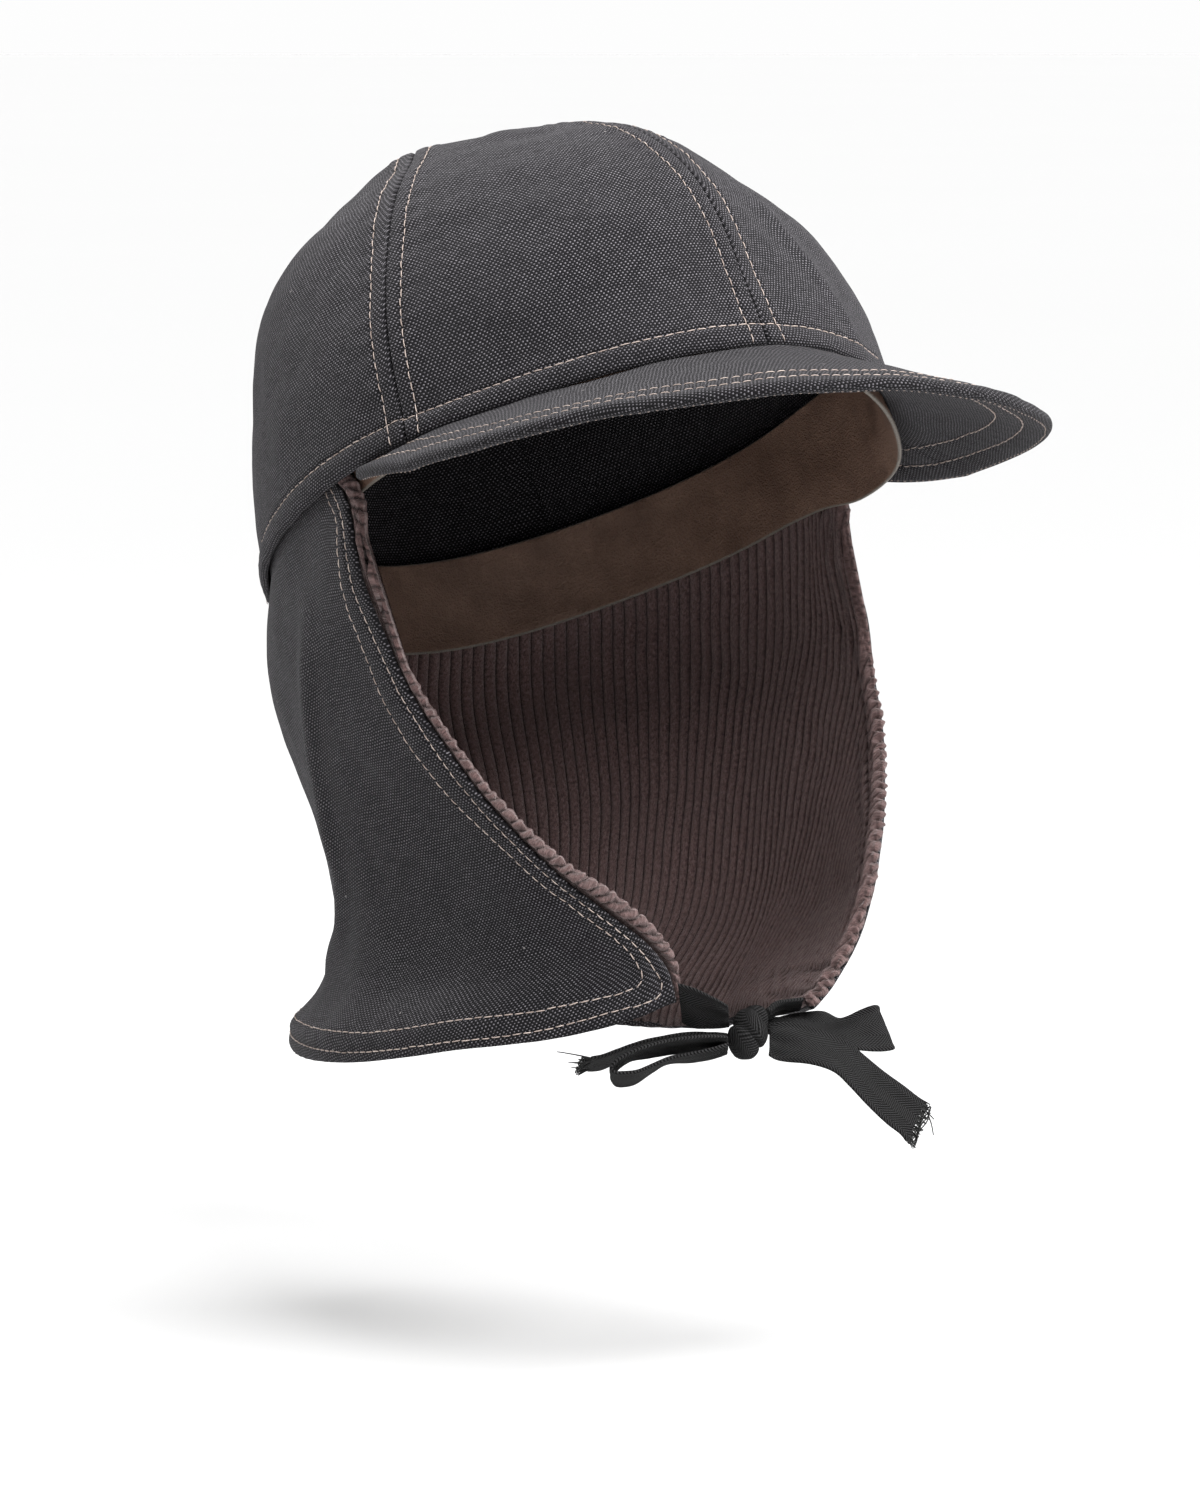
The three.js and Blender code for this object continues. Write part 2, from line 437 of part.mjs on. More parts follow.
// Plan point of the flap, out to the side and forward, at an angle round
// from the front.
function flapPlan(row, a) {
  const ahead = Math.cos(a) > 0;
  const e = ahead ? 2 / row.power : 1;
  return {
    x: row.half * power(Math.sin(a), e),
    f: row.middle + (ahead ? row.front : row.back) * power(Math.cos(a), e),
  };
}
// Flap middle: s from -1 (left front edge) through 0 (back) to 1 (right front
// edge), fall from a little below 0 (inside the crown) to 1 (bottom edge).
// lead moves the front edges, and no other column, forward by so many
// millimetres.
function flapMiddle(s, fall, lead = 0) {
  const down = Math.max(0, fall);
  const side = s < 0 ? -1 : 1;
  const row = flapRow(down, side);
  const ahead = (lead / (Math.max(20, row.front) * RAD)) * Math.max(0, (Math.abs(s) - 1) * FLAP_COLUMNS / 2 + 1);
  const deg = row.start + (180 - row.start) * (1 - Math.abs(s)) - ahead;
  if (fall < 0) {
    return crown(side * deg, levelAt(FLAP_TUCK * (-fall / 0.06)), FLAP_OFFSET);
  }
  const a = deg * RAD;
  const top = crown(side * deg, 0, FLAP_OFFSET);
  const here = flapPlan(row, a);
  const above = flapPlan(flapRow(0, side), a);
  const keep = 1 - smooth(down / 0.22);
  const z = mix(top.z, column(FLAP_BOTTOM, 'angle', side < 0 ? 'left' : 'right', deg), down);
  return V(-side * here.x + (top.x + side * above.x) * keep, -here.f + (top.y + above.f) * keep, z);
}

// A tape through the rows of a table.
function tape(rows, steps) {
  const point = (u, keys) => {
    const n = rows.length - 1; const t = Math.min(n - 1e-9, Math.max(0, u * n));
    const i = Math.floor(t); const k = t - i;
    return keys.map((name) => {
      const g = (m) => rows[Math.min(n, Math.max(0, m))][name];
      const a = g(i - 1); const b = g(i); const c = g(i + 1); const d = g(i + 2);
      return 0.5 * (2 * b + (c - a) * k + (2 * a - 5 * b + 4 * c - d) * k * k + (3 * b - a - 3 * c + d) * k * k * k);
    });
  };
  const fn = (u, v) => {
    const [x, y, z] = point(u, ['x', 'y', 'z']);
    const [ax, ay, az] = point(u, ['ax', 'ay', 'az']);
    const [w] = point(u, ['w']);
    return V(x, y, z).addScaledVector(V(ax, ay, az).normalize(), w * (v - 0.5));
  };
  return wall(fn, steps, 2, TAPE_THICK / 2, -TAPE_THICK / 2);
}

function knot() {
  const g = new THREE.SphereGeometry(1, 14, 10);
  const p = g.getAttribute('position');
  for (let i = 0; i < p.count; i += 1) {
    const x = p.getX(i); const y = p.getY(i); const z = p.getZ(i);
    const pinch = 1 - 0.12 * Math.abs(z);
    p.setXYZ(i, KNOT.x + power(x, 0.8) * KNOT.half_x * pinch + KNOT.slant * z * KNOT.half_z, KNOT.y + power(y, 0.8) * KNOT.half_y * pinch, KNOT.z + power(z, 0.85) * KNOT.half_z);
  }
  g.computeVertexNormals();
  return g;
}

// ----------------------------------------------------------------- assembly
const canvas = () => new THREE.MeshStandardMaterial({ color: 0x3f3e42, roughness: 0.92, metalness: 0 });
const ribbed = () => new THREE.MeshStandardMaterial({ color: 0x5d4a4b, roughness: 0.95, metalness: 0 });
const leather = () => new THREE.MeshStandardMaterial({ color: 0x6a5248, roughness: 0.6, metalness: 0 });
const blackTape = () => new THREE.MeshStandardMaterial({ color: 0x1c1c1e, roughness: 0.85, metalness: 0 });

const cap = new THREE.Group();
const add = (name, geometry, material) => {
  const mesh = new THREE.Mesh(geometry, material);
  mesh.name = name;
  cap.add(mesh);
};

add('crown_front_right', crownPanel(SEAM_FRONT, SEAM_RIGHT, 10), canvas());
add('crown_front_left', crownPanel(SEAM_LEFT, SEAM_FRONT, 10), canvas());
add('crown_side_right', crownPanel(SEAM_RIGHT, SEAM_REAR_RIGHT, 10), canvas());
add('crown_side_left', crownPanel(SEAM_REAR_LEFT, SEAM_LEFT, 10), canvas());
{
  const top = CROWN_TOP;
  const fn = (u, v) => {
    const level = v * top;
    const reach = crownFace(179, level).distanceTo(crownFace(-179, level)) / 2;
    const back = SEAM_GAP / 2 / Math.max(0.02, reach);
    const deg = mix(SEAM_REAR_RIGHT.base + back, SEAM_REAR_LEFT_ROUND.base - back, u);
    return crown(wrapDegrees(deg), level, 0);
  };
  add('crown_back', wall(fn, 10, 10, 0, -WALL_CANVAS, { flip: true }), canvas());
}
{
  const end = 0.97;
  const fn = (u, v) => brimMiddle(mix(-end, end, u), v);
  add('brim', wall(fn, 34, 5, BRIM_THICK / 2, -BRIM_THICK / 2), canvas());
}
{
  const fn = (u, v) => bandMiddle(wrapDegrees(mix(-180, 180, u - Math.floor(u))), v);
  add('sweatband', wall(fn, 52, 3, BAND_THICK / 2, -BAND_THICK / 2, { loop: true }), leather());
}
// One row of the flap is inside the crown and the rest hang below its edge.
const fallAt = (v, start) => {
  const bend = 1 / FLAP_ROWS;
  return v < bend ? start * (1 - v / bend) : (v - bend) / (1 - bend);
};
{
  const fn = (u, v) => flapMiddle(mix(-1, 1, u), fallAt(v, -0.06));
  add('neck_flap', wall(fn, FLAP_COLUMNS, FLAP_ROWS, FLAP_THICK / 2, -FLAP_THICK / 2), canvas());
}
{
  const inner = -(FLAP_THICK / 2 + LINING_GAP);
  const fn = (u, v) => flapMiddle(mix(-1, 1, u), fallAt(v, -0.052), LINING_PROUD);
  add('flap_lining', wall(fn, FLAP_COLUMNS, FLAP_ROWS, inner, inner - LINING_THICK, { flip: true }), ribbed());
}
add('tie_strap_right', tape(STRAP_RIGHT, 8), blackTape());
add('tie_strap_left', tape(STRAP_LEFT, 8), blackTape());
add('bow_knot', knot(), blackTape());
add('bow_loop_right', tape(LOOP_RIGHT, 26), blackTape());
add('bow_loop_left', tape(LOOP_LEFT, 26), blackTape());
add('bow_tail_right', tape(TAIL_RIGHT, 12), blackTape());
add('bow_tail_left', tape(TAIL_LEFT, 14), blackTape());

export default cap;
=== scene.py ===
import bpy
import math
import numpy as np
from mathutils import Matrix, Vector


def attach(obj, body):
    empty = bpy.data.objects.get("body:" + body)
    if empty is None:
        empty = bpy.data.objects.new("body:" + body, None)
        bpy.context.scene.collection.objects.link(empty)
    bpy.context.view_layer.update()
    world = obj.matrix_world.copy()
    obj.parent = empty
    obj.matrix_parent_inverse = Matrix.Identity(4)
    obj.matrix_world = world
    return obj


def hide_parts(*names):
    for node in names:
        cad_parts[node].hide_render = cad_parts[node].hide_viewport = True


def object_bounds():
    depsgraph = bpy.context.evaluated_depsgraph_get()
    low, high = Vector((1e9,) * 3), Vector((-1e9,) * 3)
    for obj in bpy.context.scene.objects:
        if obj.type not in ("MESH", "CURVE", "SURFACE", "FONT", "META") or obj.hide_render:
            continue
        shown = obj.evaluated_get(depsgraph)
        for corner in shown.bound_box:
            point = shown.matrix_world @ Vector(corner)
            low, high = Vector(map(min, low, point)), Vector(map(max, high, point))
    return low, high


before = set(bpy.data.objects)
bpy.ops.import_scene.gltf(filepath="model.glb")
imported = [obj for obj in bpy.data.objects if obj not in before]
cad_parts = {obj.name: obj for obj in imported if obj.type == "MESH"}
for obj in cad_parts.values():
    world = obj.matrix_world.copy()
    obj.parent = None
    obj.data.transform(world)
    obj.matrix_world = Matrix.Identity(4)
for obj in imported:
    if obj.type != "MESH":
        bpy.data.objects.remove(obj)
CAD_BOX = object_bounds()
MM = 0.001
RAD = np.pi / 180

# ------------------------------------------------------------------ camera
# A long lens 2 m from the head opening, 33 degrees round to the cap's right
# and 4 degrees above it. One millimetre there is 3.53 pixels of 1200 x 1500.
VIEW_AZ, VIEW_EL, VIEW_MM = 33.0, 4.0, 2000.0
SCALE_PX = 3.53
CENTRE_PX = (575.6, 504.2)
to_cam = np.array([-math.sin(VIEW_AZ * RAD) * math.cos(VIEW_EL * RAD),
                   -math.cos(VIEW_AZ * RAD) * math.cos(VIEW_EL * RAD),
                   math.sin(VIEW_EL * RAD)])
cam_right = np.array([-to_cam[1], to_cam[0], 0.0])
cam_right /= np.linalg.norm(cam_right)
cam_up = np.cross(to_cam, cam_right)


def add_camera():
    lo, hi = np.array(CAD_BOX[0]), np.array(CAD_BOX[1])
    target = (lo + hi) / 2
    place = to_cam * VIEW_MM * MM
    depth = VIEW_MM - target @ to_cam / MM
    px = CENTRE_PX[0] + SCALE_PX * (target @ cam_right / MM) * VIEW_MM / depth
    py = CENTRE_PX[1] - SCALE_PX * (target @ cam_up / MM) * VIEW_MM / depth
    data = bpy.data.cameras.new("camera")
    data.sensor_width = 36.0
    data.lens = SCALE_PX * VIEW_MM / 1500.0 * 36.0
    data.shift_x = (600.0 - px) / 1500.0
    data.shift_y = (py - 750.0) / 1500.0
    data.clip_end = 60.0
    cam = bpy.data.objects.new("camera", data)
    cam.location = Vector(place)
    look = Vector(target - place)
    cam.rotation_euler = look.to_track_quat("-Z", "Y").to_euler()
    bpy.context.scene.collection.objects.link(cam)
    bpy.context.scene.camera = cam


add_camera()

# ------------------------------------------------- the cap's shape, in mm
EDGE_WIDE_RIGHT, EDGE_WIDE_LEFT, EDGE_LONG = 84.0, 86.0, 107.6
EDGE_LIFT_RIGHT, EDGE_LIFT_LEFT, EDGE_WAVE = 5.6, -0.6, -2.1
LEAN, HIGH, APEX_BACK, BACK_LONG = 27.0, 113.9, 31.2, 104.8
SIDE_POWER, PLAN_POWER = 2.154, 1.85
SIDE_SEAM, SIDE_SWING, REAR_SEAM = 67.4, -18.9, 140.0
LEVELS = np.array([[0, 0, 0, 0], [.15, .019, .028, -.008], [.35, .02, .027, 0],
                   [.55, .001, .028, .004], [.75, -.006, .009, .003], [1, 0, 0, 0]])
# swells and dents of the crown: degrees round, level, and how far out
SWELLS = [(0, .10, -2.5), (-75, .25, 1.7), (-50, .25, 2.5), (-25, .25, -2.4), (0, .25, 1.5),
          (30, .25, 1.1), (60, .25, 2.2), (125, .25, -1.0), (-60, .45, -1.7), (-30, .45, -2.6),
          (0, .45, 3.1), (35, .45, .4), (65, .45, 1.4), (95, .45, 2.2), (130, .45, .6),
          (-20, .65, -2.9), (20, .65, -.4), (60, .65, -1.0), (100, .65, -2.1), (0, .82, .5),
          (60, .82, 2.0), (120, .82, -.5)]
# the flap by fall: middle, back, then each side's half width, exponent, and
# its front edge's place out and forward
FLAP_PLAN = np.array([
    [0, -1, 93.6, 81.6, 2, 81.4, 2.2, 81.6, 2, 81.4, 2.2],
    [.12, 0, 95, 83.8, 2.05, 82.5, 12.4, 83.5, 2.05, 82.3, 12.4],
    [.25, 1, 92, 83, 2.15, 81.6, 26.6, 82.7, 2.15, 81.3, 26.6],
    [.37, 2, 85.7, 79.2, 2.25, 77.5, 36.2, 79.2, 2.25, 77.5, 36.2],
    [.49, 3, 80.6, 75.7, 2.35, 72.1, 48.2, 75.7, 2.35, 72.1, 48.2],
    [.6, 3.5, 77.2, 71.4, 2.35, 65, 59.6, 71.4, 2.35, 65, 59.6],
    [.72, 4, 77, 66.7, 2.3, 53.5, 72.5, 68.2, 2.2, 55.5, 70.5],
    [.8, 3.8, 84, 65.6, 2.2, 42.1, 79, 66.5, 1.9, 49, 76],
    [.88, 2.8, 93, 67, 2.1, 29.8, 82, 62, 1.7, 41.5, 78.6],
    [.95, 1.5, 102, 73, 2.1, 22.2, 80.9, 56, 1.55, 33, 80],
    [1, 1.5, 101.5, 73.5, 2.1, 20.2, 81.6, 51, 1.5, 25.2, 80.6]])
# height of its bottom edge: degrees round, right side, left side
FLAP_BOTTOM = np.array([
    [0, -127, -127], [16, -131.4, -130.5], [22, -134.4, -132.6], [29, -137.2, -134.6], [41, -140.9, -137.6],
    [52, -143.3, -141.2], [63, -145.7, -145], [77, -149.7, -149.7], [97, -154.9, -154.9], [117, -157.5, -157.5],
    [140, -157.5, -157.5], [180, -157.5, -157.5]])
FLAP_OFFSET = -3.1
BRIM_RIM = np.array([[-120, -3.4], [-112, -9.5], [-104, -14.2], [-94, -18.9], [-80, -24.9], [-64, -30.6],
                     [-48, -35.0], [-32, -38.0], [-16, -37.2], [0, -35.0], [16, -33.4], [32, -31.0],
                     [48, -26.8], [64, -22.2], [80, -16.4], [94, -9.6], [104, -4.6], [112, -.6], [120, 2.8]])
BRIM_WIDE, BRIM_WIDEST, BRIM_REACH, BRIM_POWER = 92.5, 60.0, 158.0, 2.2
BRIM_ROOT, BRIM_ROOT_FORWARD, BRIM_ROOT_DROP, BRIM_THICK = 80.0, 18.7, 2.5, 3.6
# angle, hang, inset, turn
BAND = np.array([[-180, 4, 7.7, 0], [-100, 5, 7.7, 0], [-86, 8, 7.7, 0], [-76, 12, 5.4, 1.0],
                 [-62, 12.5, 3.5, 2.6], [-46, 9.5, 3.4, 1.6], [-26, 6, 3.4, .3], [0, 4.5, 3.4, 0],
                 [66, 4, 3.4, 0], [76, 4, 5.4, 0], [86, 4, 7.7, 0], [180, 4, 7.7, 0]], float)
BAND_TOP, BAND_THICK = 24.0, 1.3
# tapes: x, y, z, the direction across, and the width
STRAP_RIGHT = [
    (-19.9, -82.9, -131.1, -0.39, -0.43, 0.82, 14.5),
    (-16.5, -84.6, -132.6, -0.31, -0.45, 0.83, 14.5),
    (-12.7, -85.6, -133.7, -0.36, -0.5, 0.79, 13.5),
    (-8.8, -86.1, -134.8, -0.39, -0.54, 0.75, 11.5),
    (-6, -86.3, -135.6, -0.42, -0.56, 0.72, 9)]
STRAP_LEFT = [
    (22.1, -81.2, -134.7, -0.48, -0.81, 0.35, 13),
    (16.4, -81.7, -135, -0.5, -0.78, 0.38, 13),
    (11.6, -83.3, -135.1, -0.51, -0.73, 0.46, 10),
    (7.7, -85.1, -136.2, -0.52, -0.69, 0.5, 7)]
LOOP_RIGHT = [
    (-7.4, -87.7, -142.1, -0.48, -0.79, 0.38, 8),
    (-10, -87.8, -142.2, -0.48, -0.77, 0.42, 11),
    (-17, -87.5, -142, -0.48, -0.78, 0.41, 14.5),
    (-24.4, -86.8, -142.2, -0.48, -0.78, 0.4, 15),
    (-31.9, -86.3, -143, -0.49, -0.79, 0.37, 15),
    (-38.5, -85.7, -144.2, -0.51, -0.81, 0.3, 15),
    (-43.3, -85.1, -147.2, -0.52, -0.79, 0.33, 15),
    (-42.6, -85.2, -149.7, -0.52, -0.76, 0.38, 15),
    (-39.4, -85.5, -150.2, -0.5, -0.77, 0.39, 15),
    (-35.6, -85.6, -149.8, -0.49, -0.8, 0.35, 15),
    (-30.8, -85.6, -147.8, -0.53, -0.81, 0.25, 14.5),
    (-25.5, -85.9, -146.2, -0.51, -0.83, 0.24, 14),
    (-20.1, -86.3, -145.9, -0.5, -0.81, 0.3, 13.5),
    (-15, -87.2, -145.3, -0.49, -0.8, 0.34, 12.5),
    (-10.1, -88, -144.4, -0.49, -0.78, 0.38, 10.5),
    (-7.4, -87.8, -143.7, -0.47, -0.78, 0.41, 8)]
LOOP_LEFT = [
    (10, -81.5, -139.8, 0.55, 0.81, 0.21, 8),
    (15, -82.4, -140.3, 0.54, 0.8, 0.26, 10),
    (21.2, -83.6, -141.6, 0.56, 0.8, 0.22, 13),
    (27.7, -84.9, -143.1, 0.53, 0.82, 0.2, 15),
    (32.8, -86.4, -143.2, 0.48, 0.79, 0.39, 15),
    (38.4, -87.1, -142.8, 0.37, 0.66, 0.65, 15),
    (43.6, -87.4, -142.6, 0.21, 0.59, 0.78, 15),
    (47.3, -85.7, -143.1, 0.13, 0.69, 0.71, 15),
    (47.9, -81.9, -143.9, 0.15, 0.72, 0.67, 15),
    (42.9, -79.4, -144.5, 0.31, 0.76, 0.57, 15),
    (36.8, -79, -144.6, 0.45, 0.78, 0.44, 15),
    (30.6, -79.5, -142, 0.48, 0.75, 0.46, 14),
    (24, -79.9, -141.1, 0.54, 0.72, 0.45, 12.5),
    (17.5, -78.7, -140.7, 0.54, 0.77, 0.34, 10.5),
    (12, -78.7, -140.7, 0.55, 0.81, 0.23, 8)]
TAIL_RIGHT = [
    (-0.6, -78.5, -143.6, -0.5, -0.78, 0.38, 8),
    (-5.3, -77.2, -142.9, -0.51, -0.75, 0.42, 11),
    (-12, -75.2, -142.6, -0.51, -0.78, 0.37, 14),
    (-18.4, -72.9, -143.5, -0.51, -0.78, 0.35, 15),
    (-24.5, -70.3, -144.8, -0.51, -0.78, 0.36, 15),
    (-30.3, -67.3, -146.9, -0.49, -0.79, 0.37, 15),
    (-33.9, -65.1, -148.6, -0.46, -0.8, 0.4, 15),
    (-36.8, -63.3, -149.1, -0.44, -0.81, 0.38, 15)]
TAIL_LEFT = [
    (5, -89.9, -142.8, 0.4, 0.58, 0.71, 9.5),
    (7.5, -90.9, -142.9, 0.35, 0.41, 0.84, 11.5),
    (13.5, -93.7, -143.8, 0.51, 0.59, 0.63, 14),
    (18.5, -95.8, -145.3, 0.61, 0.62, 0.49, 15),
    (23.7, -97.7, -147.8, 0.67, 0.59, 0.44, 15),
    (28.1, -99, -151.8, 0.7, 0.56, 0.44, 15),
    (33.4, -100.5, -157, 0.68, 0.51, 0.53, 15),
    (38.8, -102.1, -161.7, 0.67, 0.44, 0.6, 15),
    (42.8, -103.1, -164.9, 0.69, 0.43, 0.58, 15),
    (44.7, -103.9, -166.8, 0.68, 0.35, 0.64, 15)]
KNOT = (0.0, -87.0, -140.4)


def col(tab, j, at):
    at = np.asarray(at, float)
    k, v = tab[:, 0], tab[:, j]
    n = len(k)
    a = np.clip(at, k[0], k[-1])
    i = np.clip(np.searchsorted(k, a, side="right") - 1, 0, n - 2)
    lo = np.maximum(np.arange(n) - 1, 0)
    hi = np.minimum(np.arange(n) + 1, n - 1)
    sl = (v[hi] - v[lo]) / (k[hi] - k[lo])
    h = k[i + 1] - k[i]
    t = (a - k[i]) / h
    t2, t3 = t * t, t * t * t
    return ((2 * t3 - 3 * t2 + 1) * v[i] + (t3 - 2 * t2 + t) * h * sl[i]
            + (-2 * t3 + 3 * t2) * v[i + 1] + (t3 - t2) * h * sl[i + 1])


def spow(v, e):
    return np.sign(v) * np.abs(v) ** e


def smooth(t):
    t = np.clip(t, 0, 1)
    return t * t * (3 - 2 * t)


def norm(v):
    return v / (np.linalg.norm(v, axis=-1, keepdims=True) + 1e-12)


def lean(x, f, h):
    c, s = math.cos(LEAN * RAD), math.sin(LEAN * RAD)
    return np.stack([x + 0 * h, -f * c + h * s, f * s + h * c], -1)


UP_LEAN = lean(0.0, 0.0, np.array(1.0))


def edge_high(deg):
    a = deg * RAD
    return (np.where(deg < 0, EDGE_LIFT_LEFT, EDGE_LIFT_RIGHT) * np.sin(a) ** 2
            + EDGE_WAVE * np.sin(2 * a) ** 2 * np.sign(np.cos(a)))


def crown_face(deg, lev):
    deg, lev = np.broadcast_arrays(np.asarray(deg, float), np.asarray(lev, float))
    deg = (deg + 180) % 360 - 180
    a, u, e = deg * RAD, np.minimum(1, lev) * np.pi / 2, 2 / SIDE_POWER
    rho = np.maximum(0, np.cos(u)) ** e
    rise = np.maximum(0, np.sin(u)) ** e
    c, s, q = np.cos(a), np.sin(a), 2 / PLAN_POWER
    w = np.minimum(1, rise * 3)
    wide = np.where(deg < 0, EDGE_WIDE_LEFT + (EDGE_WIDE_RIGHT - EDGE_WIDE_LEFT) * np.minimum(1, rise * 1.6),
                    EDGE_WIDE_RIGHT)
    long = np.where(c < 0, BACK_LONG + (EDGE_LONG - BACK_LONG) * (1 - rise) ** 2, EDGE_LONG)
    lobe = np.where(c > 0, col(LEVELS, 1, lev), col(LEVELS, 3, lev))
    sw = 1 + lobe * c * c + col(LEVELS, 2, lev) * s * s
    x = -wide * ((1 - w) * s + w * spow(s, q)) * rho * sw
    f = long * ((1 - w) * c + w * spow(c, q)) * rho * sw - APEX_BACK * (1 - rho)
    h = edge_high(deg) * (1 - rise) ** 2 + HIGH * rise
    return lean(x, f, h)


def crown_normal(deg, lev):
    l = np.clip(lev, .004, .992)
    a = crown_face(deg + .5, l) - crown_face(deg - .5, l)
    b = crown_face(deg, l - .003) - crown_face(deg, l + .003)
    return norm(np.cross(a, b))


def swell(deg, lev):
    by = 0 * np.asarray(deg, float) * np.asarray(lev, float)
    for a, l, b in SWELLS:
        d = (deg - a + 180) % 360 - 180
        by = by + b * np.exp(-(d / 26) ** 2 - ((lev - l) / .16) ** 2)
    return by * np.minimum(1, np.asarray(lev) * 8)


def crown(deg, lev, off=0.0):
    return crown_face(deg, lev) + crown_normal(deg, lev) * (off + swell(deg, lev))[..., None]


def level_at(h):
    return np.arcsin(np.clip(h / HIGH, 0, 1) ** (SIDE_POWER / 2)) * 2 / np.pi


def edge_outward(deg):
    n = crown_normal(deg, 0.004 + 0 * np.asarray(deg, float))
    return norm(n - (n @ UP_LEAN)[..., None] * UP_LEAN)


def band_mid(deg, v):
    d = (deg + 180) % 360 - 180
    hang, inset, turn = col(BAND, 1, d), col(BAND, 2, d), col(BAND, 3, d)
    run = -hang + (BAND_TOP + hang) * v
    above = crown(deg, level_at(np.maximum(run, 1e-6)), -inset)
    under = (crown(deg, 0 * deg, -inset) + edge_outward(deg) * (turn * (np.maximum(0, -run) / hang) ** 1.4)[..., None]
             + run[..., None] * UP_LEAN)
    return np.where((run > 0)[..., None], above, under)


def flap_row(fall, side):
    fall, side = np.broadcast_arrays(np.asarray(fall, float), np.asarray(side, float))
    mid, back = col(FLAP_PLAN, 1, fall), col(FLAP_PLAN, 2, fall)
    half, po, out, fwd = [np.where(side < 0, col(FLAP_PLAN, j + 4, fall), col(FLAP_PLAN, j, fall)) for j in (3, 4, 5, 6)]
    ratio = np.minimum(.9995, out / half)
    front = (fwd - mid) / (1 - ratio ** po) ** (1 / po)
    start = np.degrees(np.arcsin(ratio ** (po / 2)))
    return half, mid, back, po, front, start


def plan_xf(a, half, mid, back, po, front):
    ahead = np.cos(a) > 0
    e = np.where(ahead, 2 / po, 1.0)
    return half * spow(np.sin(a), e), mid + np.where(ahead, front, back) * spow(np.cos(a), e)


def flap_at(side, deg, fall):
    """Flap middle at an angle round from the front, 0 to 180, on one side."""
    side, deg, fall = np.broadcast_arrays(np.asarray(side, float), np.asarray(deg, float), np.asarray(fall, float))
    down = np.maximum(0, fall)
    a = deg * RAD
    top = crown(side * deg, 0 * deg, FLAP_OFFSET)
    half, mid, back, po, front, _ = flap_row(down, side)
    x, f = plan_xf(a, half, mid, back, po, front)
    h0, m0, b0, p0, f0, _ = flap_row(0 * down, side)
    bx, bf = plan_xf(a, h0, m0, b0, p0, f0)
    keep = 1 - smooth(down / .22)
    low = np.where(side < 0, col(FLAP_BOTTOM, 2, deg), col(FLAP_BOTTOM, 1, deg))
    z = top[..., 2] + (low - top[..., 2]) * down
    hang = np.stack([-side * x + (top[..., 0] + side * bx) * keep, -f + (top[..., 1] + bf) * keep, z], -1)
    tuck = crown(side * deg, level_at(8.0 * np.maximum(0, -fall) / .06 + 1e-6), FLAP_OFFSET)
    return np.where((fall < 0)[..., None], tuck, hang)


def flap_normal(side, deg, fall):
    """Outward unit normal of the flap's middle surface."""
    du = flap_at(side, deg + .6, fall) - flap_at(side, deg - .6, fall)
    lo, hi = np.clip(fall - .006, -.06, 1), np.clip(fall + .006, -.06, 1)
    dv = flap_at(side, deg, lo) - flap_at(side, deg, hi)
    return norm(np.cross(dv, du)) * np.asarray(side, float)[..., None]


def rim_plan(w):
    deg = 120 * w
    a = np.minimum(90, np.abs(deg)) * RAD
    e = 2 / BRIM_POWER
    x = BRIM_WIDE * np.sin(a) ** e
    f = BRIM_WIDEST + (BRIM_REACH - BRIM_WIDEST) * np.maximum(0, np.cos(a)) ** e
    t = np.maximum(0, (np.abs(deg) - 90) / 30)
    x = x - (BRIM_WIDE - EDGE_WIDE_RIGHT * math.sin(BRIM_ROOT * RAD)) * t * t
    f = f - (BRIM_WIDEST - BRIM_ROOT_FORWARD) * t
    return -np.sign(deg) * x, f, col(BRIM_RIM, 1, deg)


def root_plan(w, inset=0.2):
    deg = BRIM_ROOT * w
    a = deg * RAD
    half = np.where(deg < 0, EDGE_WIDE_LEFT, EDGE_WIDE_RIGHT)
    return -(half - inset) * np.sin(a), (EDGE_LONG - inset) * np.cos(a), edge_high(deg) - BRIM_ROOT_DROP


def brim_mid(w, r):
    w, r = np.broadcast_arrays(np.asarray(w, float), np.asarray(r, float))
    px, pf, ph = root_plan(w)
    qx, qf, qh = rim_plan(w)
    wide = np.hypot(qx - px, qf - pf)
    arch = .5 * np.sin(np.pi * np.clip(r, 0, 1)) * np.minimum(1, wide / 50)
    return lean(px + (qx - px) * r, pf + (qf - pf) * r, ph + (qh - ph) * r + arch)


# ------------------------------------------------------------- mesh makers
def sway(p, waves, seed):
    """Smooth noise from a few sine waves, a fixed function of place."""
    rng = np.random.default_rng(seed)
    out = np.zeros(p.shape[:-1])
    for size, amount in waves:
        for _ in range(4):
            k = norm(rng.normal(size=3)) * 2 * np.pi / (size * rng.uniform(.8, 1.25))
            out += amount * .5 * np.sin(p @ k + rng.uniform(0, 6.28))
    return out


